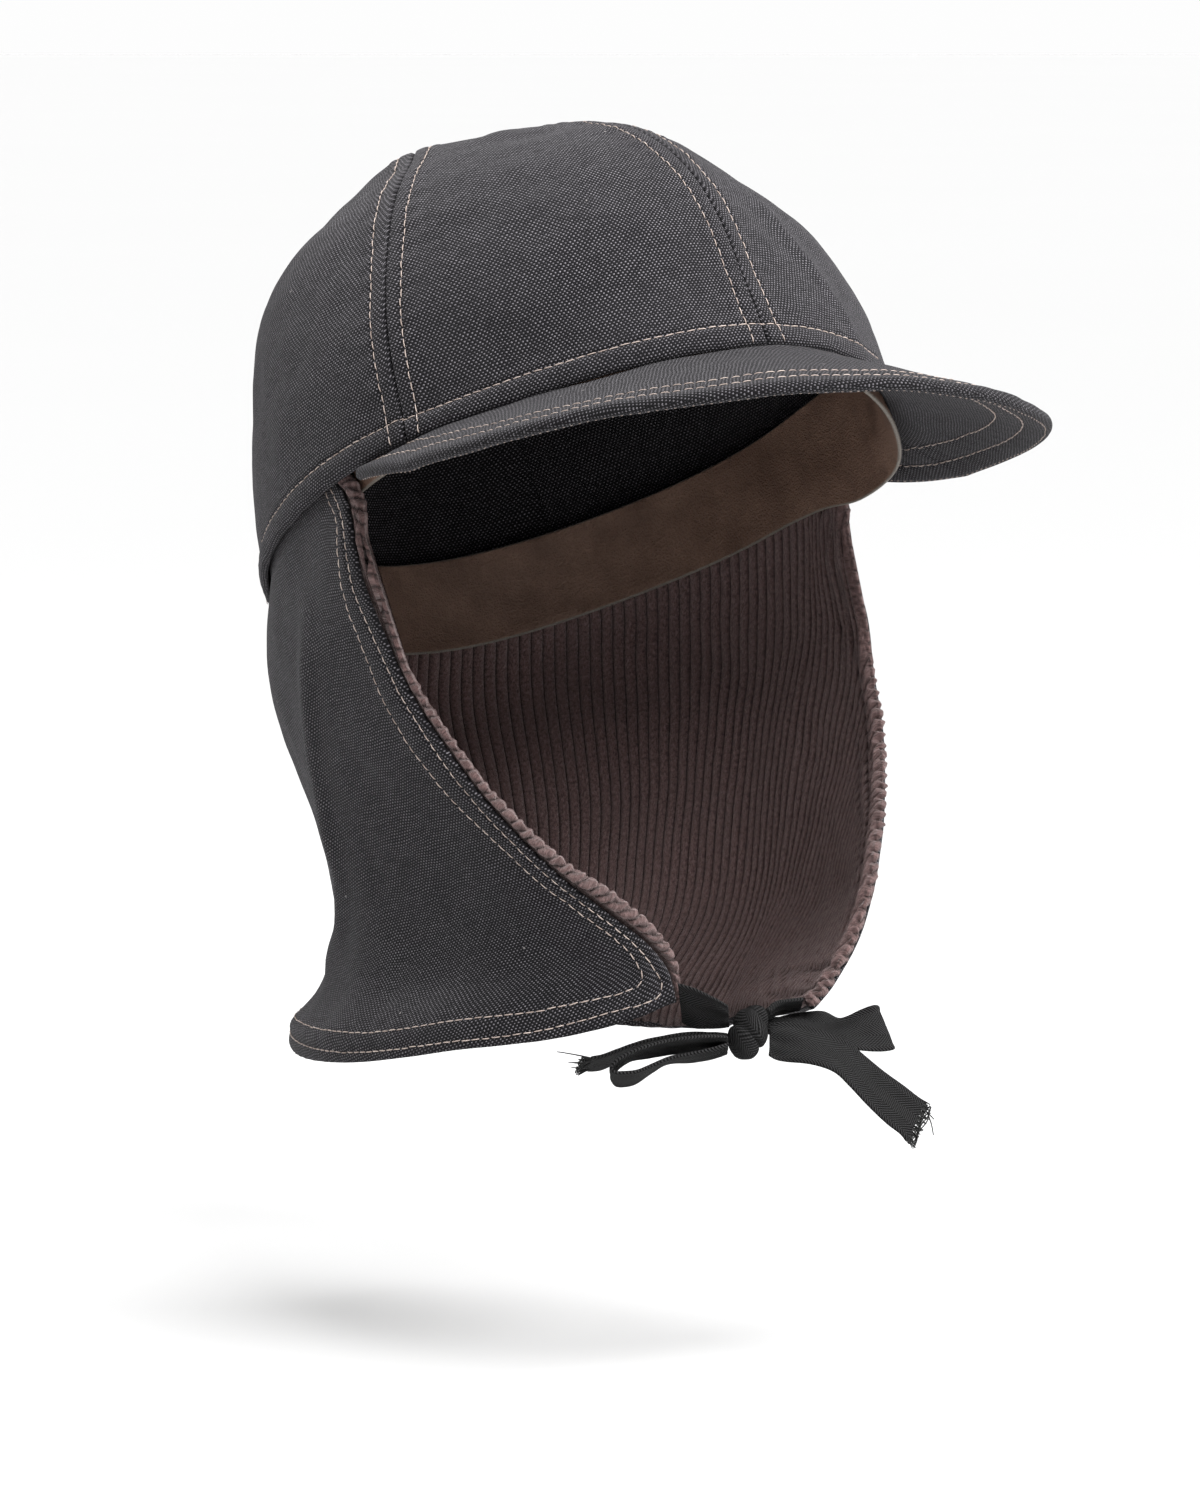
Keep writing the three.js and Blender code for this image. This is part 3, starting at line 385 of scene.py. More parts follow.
def build(name, verts, faces, uvs=None, values=None, material=None, second=None, second_from=None):
    """Mesh object from vertices in mm, quads or triangles, uv per corner in mm."""
    me = bpy.data.meshes.new(name)
    n = sum(len(f) for f in faces)
    corners = np.concatenate([f.ravel() for f in faces])
    sizes = np.concatenate([np.full(len(f), f.shape[1]) for f in faces])
    me.vertices.add(len(verts))
    me.vertices.foreach_set("co", (np.asarray(verts) * MM).astype(np.float32).ravel())
    me.loops.add(len(corners))
    me.loops.foreach_set("vertex_index", corners.astype(np.int32))
    me.polygons.add(n)
    starts = np.concatenate([[0], np.cumsum(sizes)[:-1]])
    me.polygons.foreach_set("loop_start", starts.astype(np.int32))
    me.polygons.foreach_set("loop_total", sizes.astype(np.int32))
    me.polygons.foreach_set("use_smooth", np.ones(n, bool))
    if uvs is not None:
        layer = me.uv_layers.new(name="cloth_mm")
        layer.data.foreach_set("uv", np.asarray(uvs, np.float32).ravel())
    for key, val in (values or {}).items():
        at = me.attributes.new(key, "FLOAT", "POINT")
        at.data.foreach_set("value", np.asarray(val, np.float32).ravel())
    if material:
        me.materials.append(material)
    if second is not None:
        me.materials.append(second)
        idx = np.zeros(n, np.int32)
        idx[second_from:] = 1
        me.polygons.foreach_set("material_index", idx)
    me.update()
    me.validate()
    ob = bpy.data.objects.new(name, me)
    bpy.context.scene.collection.objects.link(ob)
    return ob


def volume(v, faces):
    t = 0.0
    for f in faces:
        a = v[f[:, 0]]
        for k in range(1, f.shape[1] - 1):
            t += np.einsum("ij,ij->i", a, np.cross(v[f[:, k]], v[f[:, k + 1]])).sum()
    return t


def shell(name, outer, inner, uv, material, loop=False, values=None, second=None):
    """Closed sheet between two grids [row, column] that meet along their rim."""
    rows, cols = outer.shape[:2]
    wide = cols - 1 if loop else cols
    verts = [outer[:, :wide].reshape(-1, 3)]
    out_id = np.arange(rows * wide).reshape(rows, wide)
    in_id = np.full((rows, wide), -1)
    hold = np.zeros((rows, wide), bool)
    hold[0, :] = hold[-1, :] = True
    if not loop:
        hold[:, 0] = hold[:, -1] = True
    in_id[hold] = out_id[hold]
    free = ~hold
    in_id[free] = rows * wide + np.arange(free.sum())
    verts.append(inner[:, :wide][free])
    if loop:
        out_id = np.concatenate([out_id, out_id[:, :1]], 1)
        in_id = np.concatenate([in_id, in_id[:, :1]], 1)
    a, b = out_id, in_id
    fo = np.stack([a[:-1, :-1], a[:-1, 1:], a[1:, 1:], a[1:, :-1]], -1).reshape(-1, 4)
    fi = np.stack([b[:-1, :-1], b[1:, :-1], b[1:, 1:], b[:-1, 1:]], -1).reshape(-1, 4)
    u = uv
    uo = np.stack([u[:-1, :-1], u[:-1, 1:], u[1:, 1:], u[1:, :-1]], -2).reshape(-1, 4, 2)
    ui = np.stack([u[:-1, :-1], u[1:, :-1], u[1:, 1:], u[:-1, 1:]], -2).reshape(-1, 4, 2)
    v = np.concatenate(verts)
    if volume(v, [fo, fi]) < 0:
        fo, uo = fo[:, ::-1], uo[:, ::-1]
        fi, ui = fi[:, ::-1], ui[:, ::-1]
    vals = {}
    for key, (vo, vi) in (values or {}).items():
        vals[key] = np.concatenate([vo[:, :wide].ravel(), vi[:, :wide][free]])
    return build(name, v, [fo, fi], np.concatenate([uo.reshape(-1, 2), ui.reshape(-1, 2)]), vals, material,
                 second, len(fo) if second is not None else None)


def grid_normal(p, loop=False):
    """Unit normals of a grid of points [row, column]."""
    if loop:
        e = np.concatenate([p[:, -2:-1], p, p[:, 1:2]], 1)
        du = e[:, 2:] - e[:, :-2]
    else:
        du = np.gradient(p, axis=1)
    dv = np.gradient(p, axis=0)
    return norm(np.cross(du, dv))


def rounded(d, half):
    """How far a sheet's face stands from its middle, at a distance from its edge."""
    t = np.clip(d / half, 0, 1)
    return half * np.sqrt(np.maximum(0, 1 - (1 - t) ** 2))


def spread(wide, near, middle):
    """Positions across a width: a fixed list of mm in from both ends, and even steps between."""
    near = np.asarray(near, float)
    s = np.minimum(1.0, np.asarray(wide) / (2.6 * near[-1]))[..., None]
    left = near * s
    a = left[..., -1:]
    b = np.asarray(wide)[..., None] - a
    t = np.linspace(0, 1, middle + 2)[1:-1]
    return np.concatenate([left, a + (b - a) * t, np.asarray(wide)[..., None] - left[..., ::-1]], -1)


def arc(p, axis):
    d = np.linalg.norm(np.diff(p, axis=axis), axis=-1)
    c = np.cumsum(d, axis=axis)
    pad = np.zeros_like(np.take(c, [0], axis=axis))
    return np.concatenate([pad, c], axis=axis)


def dist_to_line(p, line):
    """Distance of points to a dense polyline, and the arc length at the nearest point."""
    flat = p.reshape(-1, 3)
    s = arc(line, 0)
    best = np.full(len(flat), 1e9)
    at = np.zeros(len(flat))
    for k in range(0, len(flat), 6000):
        d = np.linalg.norm(flat[k:k + 6000, None] - line[None], axis=-1)
        j = d.argmin(1)
        best[k:k + 6000] = d[np.arange(len(j)), j]
        at[k:k + 6000] = s[j]
    return best.reshape(p.shape[:-1]), at.reshape(p.shape[:-1])


def resample(line, step, extra=None, start=0.0, end=0.0):
    s = arc(line, 0)
    n = max(2, int(round((s[-1] - start - end) / step)) + 1)
    t = np.linspace(start, s[-1] - end, n)
    out = np.stack([np.interp(t, s, line[:, k]) for k in range(3)], -1)
    if extra is None:
        return out
    return out, np.stack([np.interp(t, s, extra[:, k]) for k in range(3)], -1)


STITCHES = {}


def stitch_row(group, line, up, pitch=3.15, length=2.65, radius=.160, lift=.10, seed=1, start=1.0, end=1.0,
               pale=0.0, sink=.30):
    """Add one row of lockstitches along a line that lies on the cloth, up its outward normals."""
    pos, nor = resample(line, pitch, up, start, end)
    if len(pos) < 2:
        return
    nor = norm(nor)
    rng = np.random.default_rng(seed)
    tan = norm(np.gradient(pos, axis=0))
    side = norm(np.cross(nor, tan))
    n = len(pos)
    tilt = rng.normal(0, .045, n)[:, None]
    tan = norm(tan + side * tilt)
    side = norm(np.cross(nor, tan))
    pos = pos + side * rng.normal(0, .06, n)[:, None]
    long = length * (1 + rng.normal(0, .05, n))
    xs = np.array([-1.0, -.91, -.58, 0, .58, .91, 1.0])
    hi = np.array([-sink - .12, -sink * .27, .10, .17, .10, -sink * .27, -sink - .12])
    rr = np.array([.45, .75, 1.0, 1.05, 1.0, .75, .45])
    k = 6
    ang = np.arange(k) * 2 * np.pi / k
    ring = (pos[:, None, None] + tan[:, None, None] * (xs * .5)[None, :, None, None] * long[:, None, None, None]
            + nor[:, None, None] * (hi + lift)[None, :, None, None]
            + (side[:, None, None] * np.cos(ang)[None, None, :, None]
               + nor[:, None, None] * np.sin(ang)[None, None, :, None] * .82) * (rr * radius)[None, :, None, None])
    m = len(xs)
    v = ring.reshape(-1, 3)
    base = (np.arange(n) * m * k)[:, None, None]
    i = np.arange(m - 1)[None, :, None] * k
    j = np.arange(k)[None, None, :]
    jn = (j + 1) % k
    f = np.stack([base + i + j, base + i + jn, base + i + k + jn, base + i + k + j], -1).reshape(-1, 4)
    caps = []
    for e, flip in ((0, True), (m - 1, False)):
        c = base[:, :, 0] + e * k + np.arange(k)[None, ::-1 if flip else 1]
        caps.append(c)
    tone = np.repeat(np.clip(rng.normal(.5 + pale, .16, n), 0, 1), m * k)
    along = np.tile(np.repeat(xs, k), n)
    STITCHES.setdefault(group, []).append((v, f, caps, tone, along))


def flush_stitches(material, home):
    made = []
    for group, rows in STITCHES.items():
        vs, fs, cs, tone, along, base = [], [], [], [], [], 0
        for v, f, caps, t, al in rows:
            vs.append(v)
            fs.append(f + base)
            cs += [c + base for c in caps]
            tone.append(t)
            along.append(al)
            base += len(v)
        verts = np.concatenate(vs)
        quads = np.concatenate(fs)
        caps = np.concatenate(cs)
        ob = build(group, verts, [quads, caps], None, {"tone": np.concatenate(tone), "along": np.concatenate(along)},
                   material)
        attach(ob, "root")
        made.append(ob)
    return made


def tube(points, radius, sides=6):
    """Closed thin tube through points; returns vertices, quads and the two cap faces."""
    p = np.asarray(points, float)
    r = np.broadcast_to(np.asarray(radius, float), len(p))
    t = norm(np.gradient(p, axis=0))
    ref = np.array([0, 0, 1.0]) if abs(t[0, 2]) < .8 else np.array([1.0, 0, 0])
    a = norm(np.cross(t, ref))
    b = np.cross(t, a)
    ang = np.arange(sides) * 2 * np.pi / sides
    v = (p[:, None] + (a[:, None] * np.cos(ang)[None, :, None] + b[:, None] * np.sin(ang)[None, :, None])
         * r[:, None, None]).reshape(-1, 3)
    i = np.arange(len(p) - 1)[:, None] * sides
    j = np.arange(sides)[None]
    jn = (j + 1) % sides
    f = np.stack([i + j, i + sides + j, i + sides + jn, i + jn], -1).reshape(-1, 4)
    return v, f, [np.arange(sides)[None], (len(p) - 1) * sides + np.arange(sides)[None, ::-1]]


def join_tubes(name, tubes, material, values=None):
    vs, fs, cs, base = [], [], [], 0
    for v, f, caps in tubes:
        vs.append(v)
        fs.append(f + base)
        cs += [c + base for c in caps]
        base += len(v)
    return build(name, np.concatenate(vs), [np.concatenate(fs), np.concatenate(cs)], None, values, material)


# --------------------------------------------------------------- materials
class Nodes:
    def __init__(self, name):
        self.mat = bpy.data.materials.new(name)
        self.mat.use_nodes = True
        self.tree = self.mat.node_tree
        self.tree.nodes.clear()
        self.out = self.tree.nodes.new("ShaderNodeOutputMaterial")
        self.bsdf = self.tree.nodes.new("ShaderNodeBsdfPrincipled")
        self.link(self.bsdf.outputs[0], self.out.inputs[0])

    def link(self, a, b):
        self.tree.links.new(a, b)

    def put(self, socket, value):
        if isinstance(value, bpy.types.NodeSocket):
            self.link(value, socket)
        else:
            socket.default_value = value

    def math(self, op, a, b=None, c=None, clamp=False):
        n = self.tree.nodes.new("ShaderNodeMath")
        n.operation = op
        n.use_clamp = clamp
        for k, v in enumerate((a, b, c)):
            if v is not None:
                self.put(n.inputs[k], v)
        return n.outputs[0]

    def uv(self):
        n = self.tree.nodes.new("ShaderNodeUVMap")
        n.uv_map = "cloth_mm"
        s = self.tree.nodes.new("ShaderNodeSeparateXYZ")
        self.link(n.outputs[0], s.inputs[0])
        return n.outputs[0], s.outputs[0], s.outputs[1]

    def place(self):
        n = self.tree.nodes.new("ShaderNodeTexCoord")
        return n.outputs["Object"]

    def value(self, name):
        n = self.tree.nodes.new("ShaderNodeAttribute")
        n.attribute_name = name
        return n.outputs["Fac"]

    def vec(self, x, y, z=0.0):
        n = self.tree.nodes.new("ShaderNodeCombineXYZ")
        for k, v in enumerate((x, y, z)):
            self.put(n.inputs[k], v)
        return n.outputs[0]

    def scale(self, v, x, y=None, z=None):
        n = self.tree.nodes.new("ShaderNodeVectorMath")
        n.operation = "MULTIPLY"
        self.link(v, n.inputs[0])
        n.inputs[1].default_value = (x, x if y is None else y, x if z is None else z)
        return n.outputs[0]

    def noise(self, v, scale=1.0, detail=2.0, rough=.5):
        n = self.tree.nodes.new("ShaderNodeTexNoise")
        self.link(v, n.inputs["Vector"])
        n.inputs["Scale"].default_value = scale
        n.inputs["Detail"].default_value = detail
        n.inputs["Roughness"].default_value = rough
        return n.outputs["Fac"]

    def cells(self, v, scale=1.0):
        n = self.tree.nodes.new("ShaderNodeTexVoronoi")
        self.link(v, n.inputs["Vector"])
        n.inputs["Scale"].default_value = scale
        return n.outputs["Distance"]

    def white(self, v):
        n = self.tree.nodes.new("ShaderNodeTexWhiteNoise")
        self.link(v, n.inputs["Vector"])
        return n.outputs["Value"]

    def remap(self, x, a, b, c=0.0, d=1.0):
        n = self.tree.nodes.new("ShaderNodeMapRange")
        self.put(n.inputs["Value"], x)
        for key, v in (("From Min", a), ("From Max", b), ("To Min", c), ("To Max", d)):
            n.inputs[key].default_value = v
        return n.outputs["Result"]

    def mix(self, t, a, b):
        n = self.tree.nodes.new("ShaderNodeMix")
        n.data_type = "RGBA"
        self.put(n.inputs[0], t)
        for k, v in ((6, a), (7, b)):
            if isinstance(v, bpy.types.NodeSocket):
                self.link(v, n.inputs[k])
            else:
                n.inputs[k].default_value = (*v, 1.0)
        return n.outputs[2]

    def bump(self, height, distance, strength=1.0, base=None):
        n = self.tree.nodes.new("ShaderNodeBump")
        n.inputs["Strength"].default_value = strength
        n.inputs["Distance"].default_value = distance
        self.link(height, n.inputs["Height"])
        if base is not None:
            self.link(base, n.inputs["Normal"])
        return n.outputs[0]


def plain_weave(m, u, v, wide, high):
    """Over-and-under of a plain weave: height, the float on top, and yarn ids."""
    a = m.math("DIVIDE", u, wide)
    b = m.math("DIVIDE", v, high)
    ia, ib = m.math("FLOOR", a), m.math("FLOOR", b)
    fa, fb = m.math("FRACT", a), m.math("FRACT", b)
    odd = m.math("MODULO", m.math("ADD", m.math("ABSOLUTE", ia), m.math("ABSOLUTE", ib)), 2.0)
    sa = m.math("SINE", m.math("MULTIPLY", fa, math.pi))
    sb = m.math("SINE", m.math("MULTIPLY", fb, math.pi))
    # a weft float runs along u, round in v; a warp float the other way
    weft = m.math("MULTIPLY", m.math("POWER", sb, 1.15), m.math("POWER", sa, .42))
    warp = m.math("MULTIPLY", m.math("POWER", sa, .55), m.math("POWER", sb, .8))
    even = m.math("SUBTRACT", 1.0, odd)
    h = m.math("ADD", m.math("MULTIPLY", weft, odd), m.math("MULTIPLY", m.math("MULTIPLY", warp, even), .82))
    return h, m.math("MULTIPLY", weft, odd), ia, ib


def canvas_material(name, dark=1.0):
    m = Nodes(name)
    uv, u, v = m.uv()
    # yarns wander a little
    drift = m.noise(m.scale(uv, .035), 1.0, 2.0)
    u2 = m.math("ADD", u, m.math("MULTIPLY", m.math("SUBTRACT", drift, .5), 2.2))
    drift2 = m.noise(m.scale(uv, .05), 1.7, 2.0)
    v2 = m.math("ADD", v, m.math("MULTIPLY", m.math("SUBTRACT", drift2, .5), 2.2))
    h, fleck, ia, ib = plain_weave(m, u2, v2, .62, .77)
    row = m.white(m.vec(m.math("MULTIPLY", ib, .37), 4.1, 0.0))
    end = m.white(m.vec(m.math("MULTIPLY", ia, .53), 9.7, 0.0))
    cell = m.white(m.vec(ia, ib, 3.0))
    slub_u = m.noise(m.scale(uv, .12, 1.6, 1.0), 1.0, 3.0, .6)
    slub_v = m.noise(m.scale(uv, 1.7, .12, 1.0), 1.0, 3.0, .6)
    cloud = m.noise(m.scale(uv, .03), 1.0, 4.0, .55)
    fuzz = m.noise(m.scale(uv, 5.5), 1.0, 3.0, .7)
    pale = m.math("MULTIPLY", fleck, m.remap(cell, 0.0, 1.0, .74, 1.0))
    pale = m.math("MULTIPLY", pale, m.remap(slub_u, .3, .7, .74, 1.08))
    base = m.mix(m.remap(slub_v, .3, .7, 0.0, 1.0), (.0055 * dark, .0052 * dark, .0061 * dark),
                 (.0090 * dark, .0086 * dark, .0100 * dark))
    top = m.mix(m.remap(pale, .36, .84, 0.0, 1.0), base, (.205 * dark, .194 * dark, .211 * dark))
    # worn, slightly paler where yarns are lifted, and faint clouding
    top = m.mix(m.math("MULTIPLY", m.remap(cloud, .35, .75, 0.0, .22), 1.0), top, (.025 * dark, .024 * dark, .026 * dark))
    top = m.mix(m.remap(fuzz, .62, .82, 0.0, .20), top, (.058 * dark, .055 * dark, .058 * dark))
    lint = m.cells(m.scale(uv, .085), 1.0)
    top = m.mix(m.remap(lint, .035, .02, 0.0, .55), top, (.42, .39, .38))
    m.link(top, m.bsdf.inputs["Base Color"])
    m.bsdf.inputs["Roughness"].default_value = .86
    m.put(m.bsdf.inputs["Specular IOR Level"], .10)
    m.bsdf.inputs["Sheen Weight"].default_value = .14
    m.bsdf.inputs["Sheen Roughness"].default_value = .35
    m.bsdf.inputs["Sheen Tint"].default_value = (.62, .60, .63, 1.0)
    tall = m.math("ADD", h, m.math("MULTIPLY", slub_u, .5))
    tall = m.math("ADD", tall, m.math("MULTIPLY", m.math("ADD", row, end), .12))
    tall = m.math("ADD", tall, m.math("MULTIPLY", fuzz, .35))
    m.link(m.bump(tall, .00024, .95), m.bsdf.inputs["Normal"])
    return m.mat


def corduroy_material(name):
    m = Nodes(name)
    uv, u, v = m.uv()
    roll = m.value("roll")
    bead = m.math("ABSOLUTE", m.math("SINE", m.math("MULTIPLY", m.value("bead"), math.pi)))
    bead = m.math("POWER", bead, .75)
    # painted shade: the pile darker between the beads of the rolled edge, and where the groove value is high (wale
    # grooves, stitch rows, under the canvas)
    low = m.math("MULTIPLY", m.math("MULTIPLY", m.math("SUBTRACT", .80, bead), 1.6, clamp=True), roll)
    painted_groove_shade = m.math("MAXIMUM", m.value("groove"), low)
    pile = m.noise(m.scale(uv, 3.2, 1.1, 1.0), 1.0, 4.0, .7)
    tuft = m.noise(m.scale(uv, 1.5, .8, 1.0), 1.0, 3.0, .6)
    wear = m.noise(m.scale(uv, .05, .05, 1.0), 1.0, 3.0, .5)
    nub = m.noise(m.scale(uv, .95, .95, 1.0), 1.0, 3.0, .6)
    c = m.mix(m.remap(pile, .34, .66), (.042, .025, .024), (.170, .104, .100))
    c = m.mix(m.remap(nub, .52, .36, 0.0, .60), c, (.030, .018, .017))
    c = m.mix(m.remap(tuft, .48, .70, 0.0, .5), c, (.27, .182, .176))
    c = m.mix(m.remap(wear, .35, .7, 0.0, .35), c, (.11, .075, .072))
    c = m.mix(m.math("MULTIPLY", painted_groove_shade, .86), c, (.014, .0085, .008))
    m.link(c, m.bsdf.inputs["Base Color"])
    m.bsdf.inputs["Roughness"].default_value = .95
    m.bsdf.inputs["Specular IOR Level"].default_value = .12
    m.bsdf.inputs["Sheen Weight"].default_value = .30
    m.bsdf.inputs["Sheen Roughness"].default_value = .45
    m.bsdf.inputs["Sheen Tint"].default_value = (.95, .78, .76, 1.0)
    fine = m.noise(m.scale(uv, 7.0, 3.5, 1.0), 1.0, 2.0, .6)
    tall = m.math("ADD", m.math("MULTIPLY", pile, 1.0), m.math("MULTIPLY", fine, .6))
    tall = m.math("ADD", tall, m.math("MULTIPLY", nub, 1.6))
    tall = m.math("ADD", tall, m.math("MULTIPLY", m.math("MULTIPLY", bead, roll), 2.1))
    m.link(m.bump(tall, .00055, .9), m.bsdf.inputs["Normal"])
    return m.mat


def leather_material(name):
    m = Nodes(name)
    uv, u, v = m.uv()
    cut = m.value("cut")
    grain = m.cells(m.scale(uv, 1.5), 1.0)
    pores = m.cells(m.scale(uv, 3.1), 1.0)
    cloud = m.noise(m.scale(uv, .06), 1.0, 4.0, .6)
    crease = m.noise(m.scale(uv, .9, .12, 1.0), 1.0, 3.0, .6)
    c = m.mix(m.remap(cloud, .3, .7), (.105, .060, .042), (.190, .115, .082))
    c = m.mix(m.remap(grain, .0, .45, .55, 0.0), c, (.05, .028, .02))
    c = m.mix(m.remap(crease, .55, .75, 0.0, .3), c, (.20, .125, .09))
    edge = m.mix(m.remap(m.noise(m.scale(uv, 2.5), 1.0, 3.0), .3, .7), (.085, .072, .060), (.15, .132, .112))
    c = m.mix(cut, c, edge)
    m.link(c, m.bsdf.inputs["Base Color"])
    m.link(m.remap(cloud, .3, .7, .50, .66), m.bsdf.inputs["Roughness"])
    m.bsdf.inputs["Specular IOR Level"].default_value = .4
    tall = m.math("ADD", grain, m.math("MULTIPLY", pores, .5))
    tall = m.math("ADD", tall, m.math("MULTIPLY", crease, .8))
    m.link(m.bump(tall, .00030, .8), m.bsdf.inputs["Normal"])
    return m.mat


def tape_material(name, lift=1.0):
    """Herringbone tape: slanting ribs that turn at each column line, their crests in painted highlight and the hollows
    in painted shade.
    """
    m = Nodes(name)
    uv, u, v = m.uv()
    column = 3.75
    t = m.math("DIVIDE", v, column)
    k = m.math("PINGPONG", t, 1.0)
    slant = m.math("ADD", u, m.math("MULTIPLY", k, column * 1.15))
    rib = m.math("PINGPONG", m.math("DIVIDE", slant, .52), 1.0)
    ribn = m.math("SINE", m.math("MULTIPLY", rib, math.pi / 2))
    pick = m.math("PINGPONG", m.math("DIVIDE", v, .30), 1.0)
    fuzz = m.noise(m.scale(uv, 4.0), 1.0, 3.0, .7)
    wear = m.noise(m.scale(uv, .18), 1.0, 3.0, .6)
    # painted highlight and shade: rib crests at the tape's palest, the hollows between ribs near-black
    c = m.mix(m.math("POWER", m.remap(ribn, .10, 1.0), 3.2), (.0005 * lift, .0005 * lift, .0006 * lift), (.0300 * lift, .0293 * lift, .0303 * lift))
    c = m.mix(m.remap(wear, .4, .75, 0.0, .35), c, (.0065 * lift, .0063 * lift, .0063 * lift))
    c = m.mix(m.remap(fuzz, .60, .8, 0.0, .25), c, (.022 * lift, .0212 * lift, .0210 * lift))
    m.link(c, m.bsdf.inputs["Base Color"])
    m.bsdf.inputs["Roughness"].default_value = .8
    m.bsdf.inputs["Specular IOR Level"].default_value = .07
    m.bsdf.inputs["Sheen Weight"].default_value = .03
    m.bsdf.inputs["Sheen Roughness"].default_value = .5
    tall = m.math("ADD", ribn, m.math("MULTIPLY", pick, .35))
    tall = m.math("ADD", tall, m.math("MULTIPLY", fuzz, .4))
    m.link(m.bump(tall, .00085, 1.0), m.bsdf.inputs["Normal"])
    return m.mat


def thread_material(name, low, high, rough=.7):
    m = Nodes(name)
    tone, along = m.value("tone"), m.value("along")
    place = m.place()
    n = m.noise(m.scale(place, 2600.0), 1.0, 2.0, .6)
    t = m.math("ADD", m.math("MULTIPLY", tone, .75), m.math("MULTIPLY", n, .35))
    c = m.mix(m.remap(t, .2, .9), low, high)
    # painted shade: each stitch darker towards its two ends, where it sinks into the cloth
    end = m.math("POWER", m.math("ABSOLUTE", along), 6.0)
    c = m.mix(m.math("MULTIPLY", end, .55), c, tuple(x * .35 for x in low))
    m.link(c, m.bsdf.inputs["Base Color"])
    m.bsdf.inputs["Roughness"].default_value = rough
    m.bsdf.inputs["Specular IOR Level"].default_value = .3
    m.link(m.bump(n, .00008, .6), m.bsdf.inputs["Normal"])
    return m.mat


canvas = canvas_material("charcoal_canvas")
# the flap and the brim are the same canvas made darker, painted shade: the flap by 12 %, the brim by 28 %
canvas_flap_painted_shade = canvas_material("charcoal_canvas_flap_painted_shade", .88)
canvas_brim_painted_shade = canvas_material("charcoal_canvas_brim_painted_shade", .72)
canvas_back = canvas_material("canvas_inside", .72)
corduroy = corduroy_material("mauve_corduroy")
leather = leather_material("brown_leather")
twill = tape_material("black_herringbone")
thread = thread_material("tan_thread", (.25, .195, .170), (.50, .420, .375))
dark_thread = thread_material("dark_thread", (.005, .005, .005), (.028, .027, .027))

# ------------------------------------------------------------- crown panels
ROW = 4.9          # topstitch rows, mm each side of a seam
HEM = 6.6          # topstitch row above the crown's edge
NEAR_SEAM = [0, .05, .16, .34, .6, .95, 1.5, 2.2, 3.0, 3.7, 4.25, 4.6, 4.9, 5.2, 5.55, 6.1, 6.9, 7.7, 8.6, 9.8]
NEAR_HEM = [0, .06, .2, .42, .7, 1.1, 1.7, 2.4, 3.2, 4.0, 4.8, 5.5, 6.0, 6.35, 6.6, 6.9, 7.3, 7.9, 8.7, 9.7, 11]
TOP = .991
WALL = 1.7


def seam_line(base, swing, n=400):
    lev = np.linspace(0, TOP, n)
    return base + swing * lev, lev


LEAVES = [  # crease and dent lines on the crown: points (degrees, level), width, how far out
    ([(-19.5, .33), (-20.5, .26), (-22.5, .18), (-25.5, .11), (-28, .05), (-29.5, .012)], 3.2, 1.0),
    ([(-14.0, .30), (-16.0, .20), (-20.0, .10)], 5.5, -.55),
    ([(-27.0, .30), (-30.0, .18), (-33.0, .08)], 6.0, -.5),
    ([(33.0, .585), (25.5, .565), (18.0, .54)], 5.0, -1.2),
    ([(31.0, .65), (22.0, .63)], 5.5, .6),
    ([(60.0, .15), (54.0, .13), (46.0, .125)], 8.0, -1.1),
    ([(50.0, .235), (44.0, .22)], 9.0, .5),
    ([(30.0, .12), (20.0, .115), (11.0, .12)], 7.0, -.5),
    ([(93.5, .53), (92.5, .62), (88.0, .70)], 6.0, .6),
    ([(80.0, .40), (83.0, .28), (84.0, .16)], 6.5, -.6),
    ([(97.0, .42), (98.0, .26), (97.0, .12)], 6.5, .5),
    ([(118.0, .36), (116.0, .22), (115.0, .10)], 7.5, -.5),
    ([(-105.0, .30), (-108.0, .18)], 8.0, -.6),
    ([(165.0, .30), (172.0, .16)], 8.0, -.6),
    ([(-150.0, .22), (-165.0, .18)], 8.0, .5),
]
LEAF_LINES = []
for pts, wide, by in LEAVES:
    q = np.array(pts, float)
    t = np.linspace(0, 1, len(q))
    tt = np.linspace(0, 1, 60)
    d, l = np.interp(tt, t, q[:, 0]), np.interp(tt, t, q[:, 1])
    fade = np.sin(np.pi * (tt * .86 + .07)) ** .6
    LEAF_LINES.append((crown(d, l), wide, by, fade))


def crown_relief(p):
    out = sway(p, ((70, .55), (34, .30), (17, .13), (9, .05)), 11)
    for line, wide, by, fade in LEAF_LINES:
        lo, hi = line.min(0) - 3 * wide, line.max(0) + 3 * wide
        mask = np.all((p > lo) & (p < hi), -1)
        if mask.any():
            q = p[mask]
            d = np.linalg.norm(q[:, None] - line[None], axis=-1)
            j = d.argmin(1)
            out[mask] += by * fade[j] * np.exp(-(d[np.arange(len(j)), j] / wide) ** 2)
    return out


def seam_relief(d, s, seed):
    allow = .36 * smooth((8.4 - d) / 1.5)
    puff = .24 * np.sin(np.pi * np.clip(d / ROW, 0, 1))
    dip = -.46 * np.exp(-((d - ROW) / .62) ** 2)
    pull = .5 + .5 * np.cos(2 * np.pi * s / 3.15 + 2.2 * np.sin(s / 11.0 + seed))
    dip = dip * (.65 + .35 * pull)
    pucker = .17 * np.sin(2 * np.pi * s / 6.9 + 1.7 * np.sin(s / 13 + seed)) * np.exp(-((d - ROW - 1.6) / 3.2) ** 2)
    return allow + puff + dip + pucker


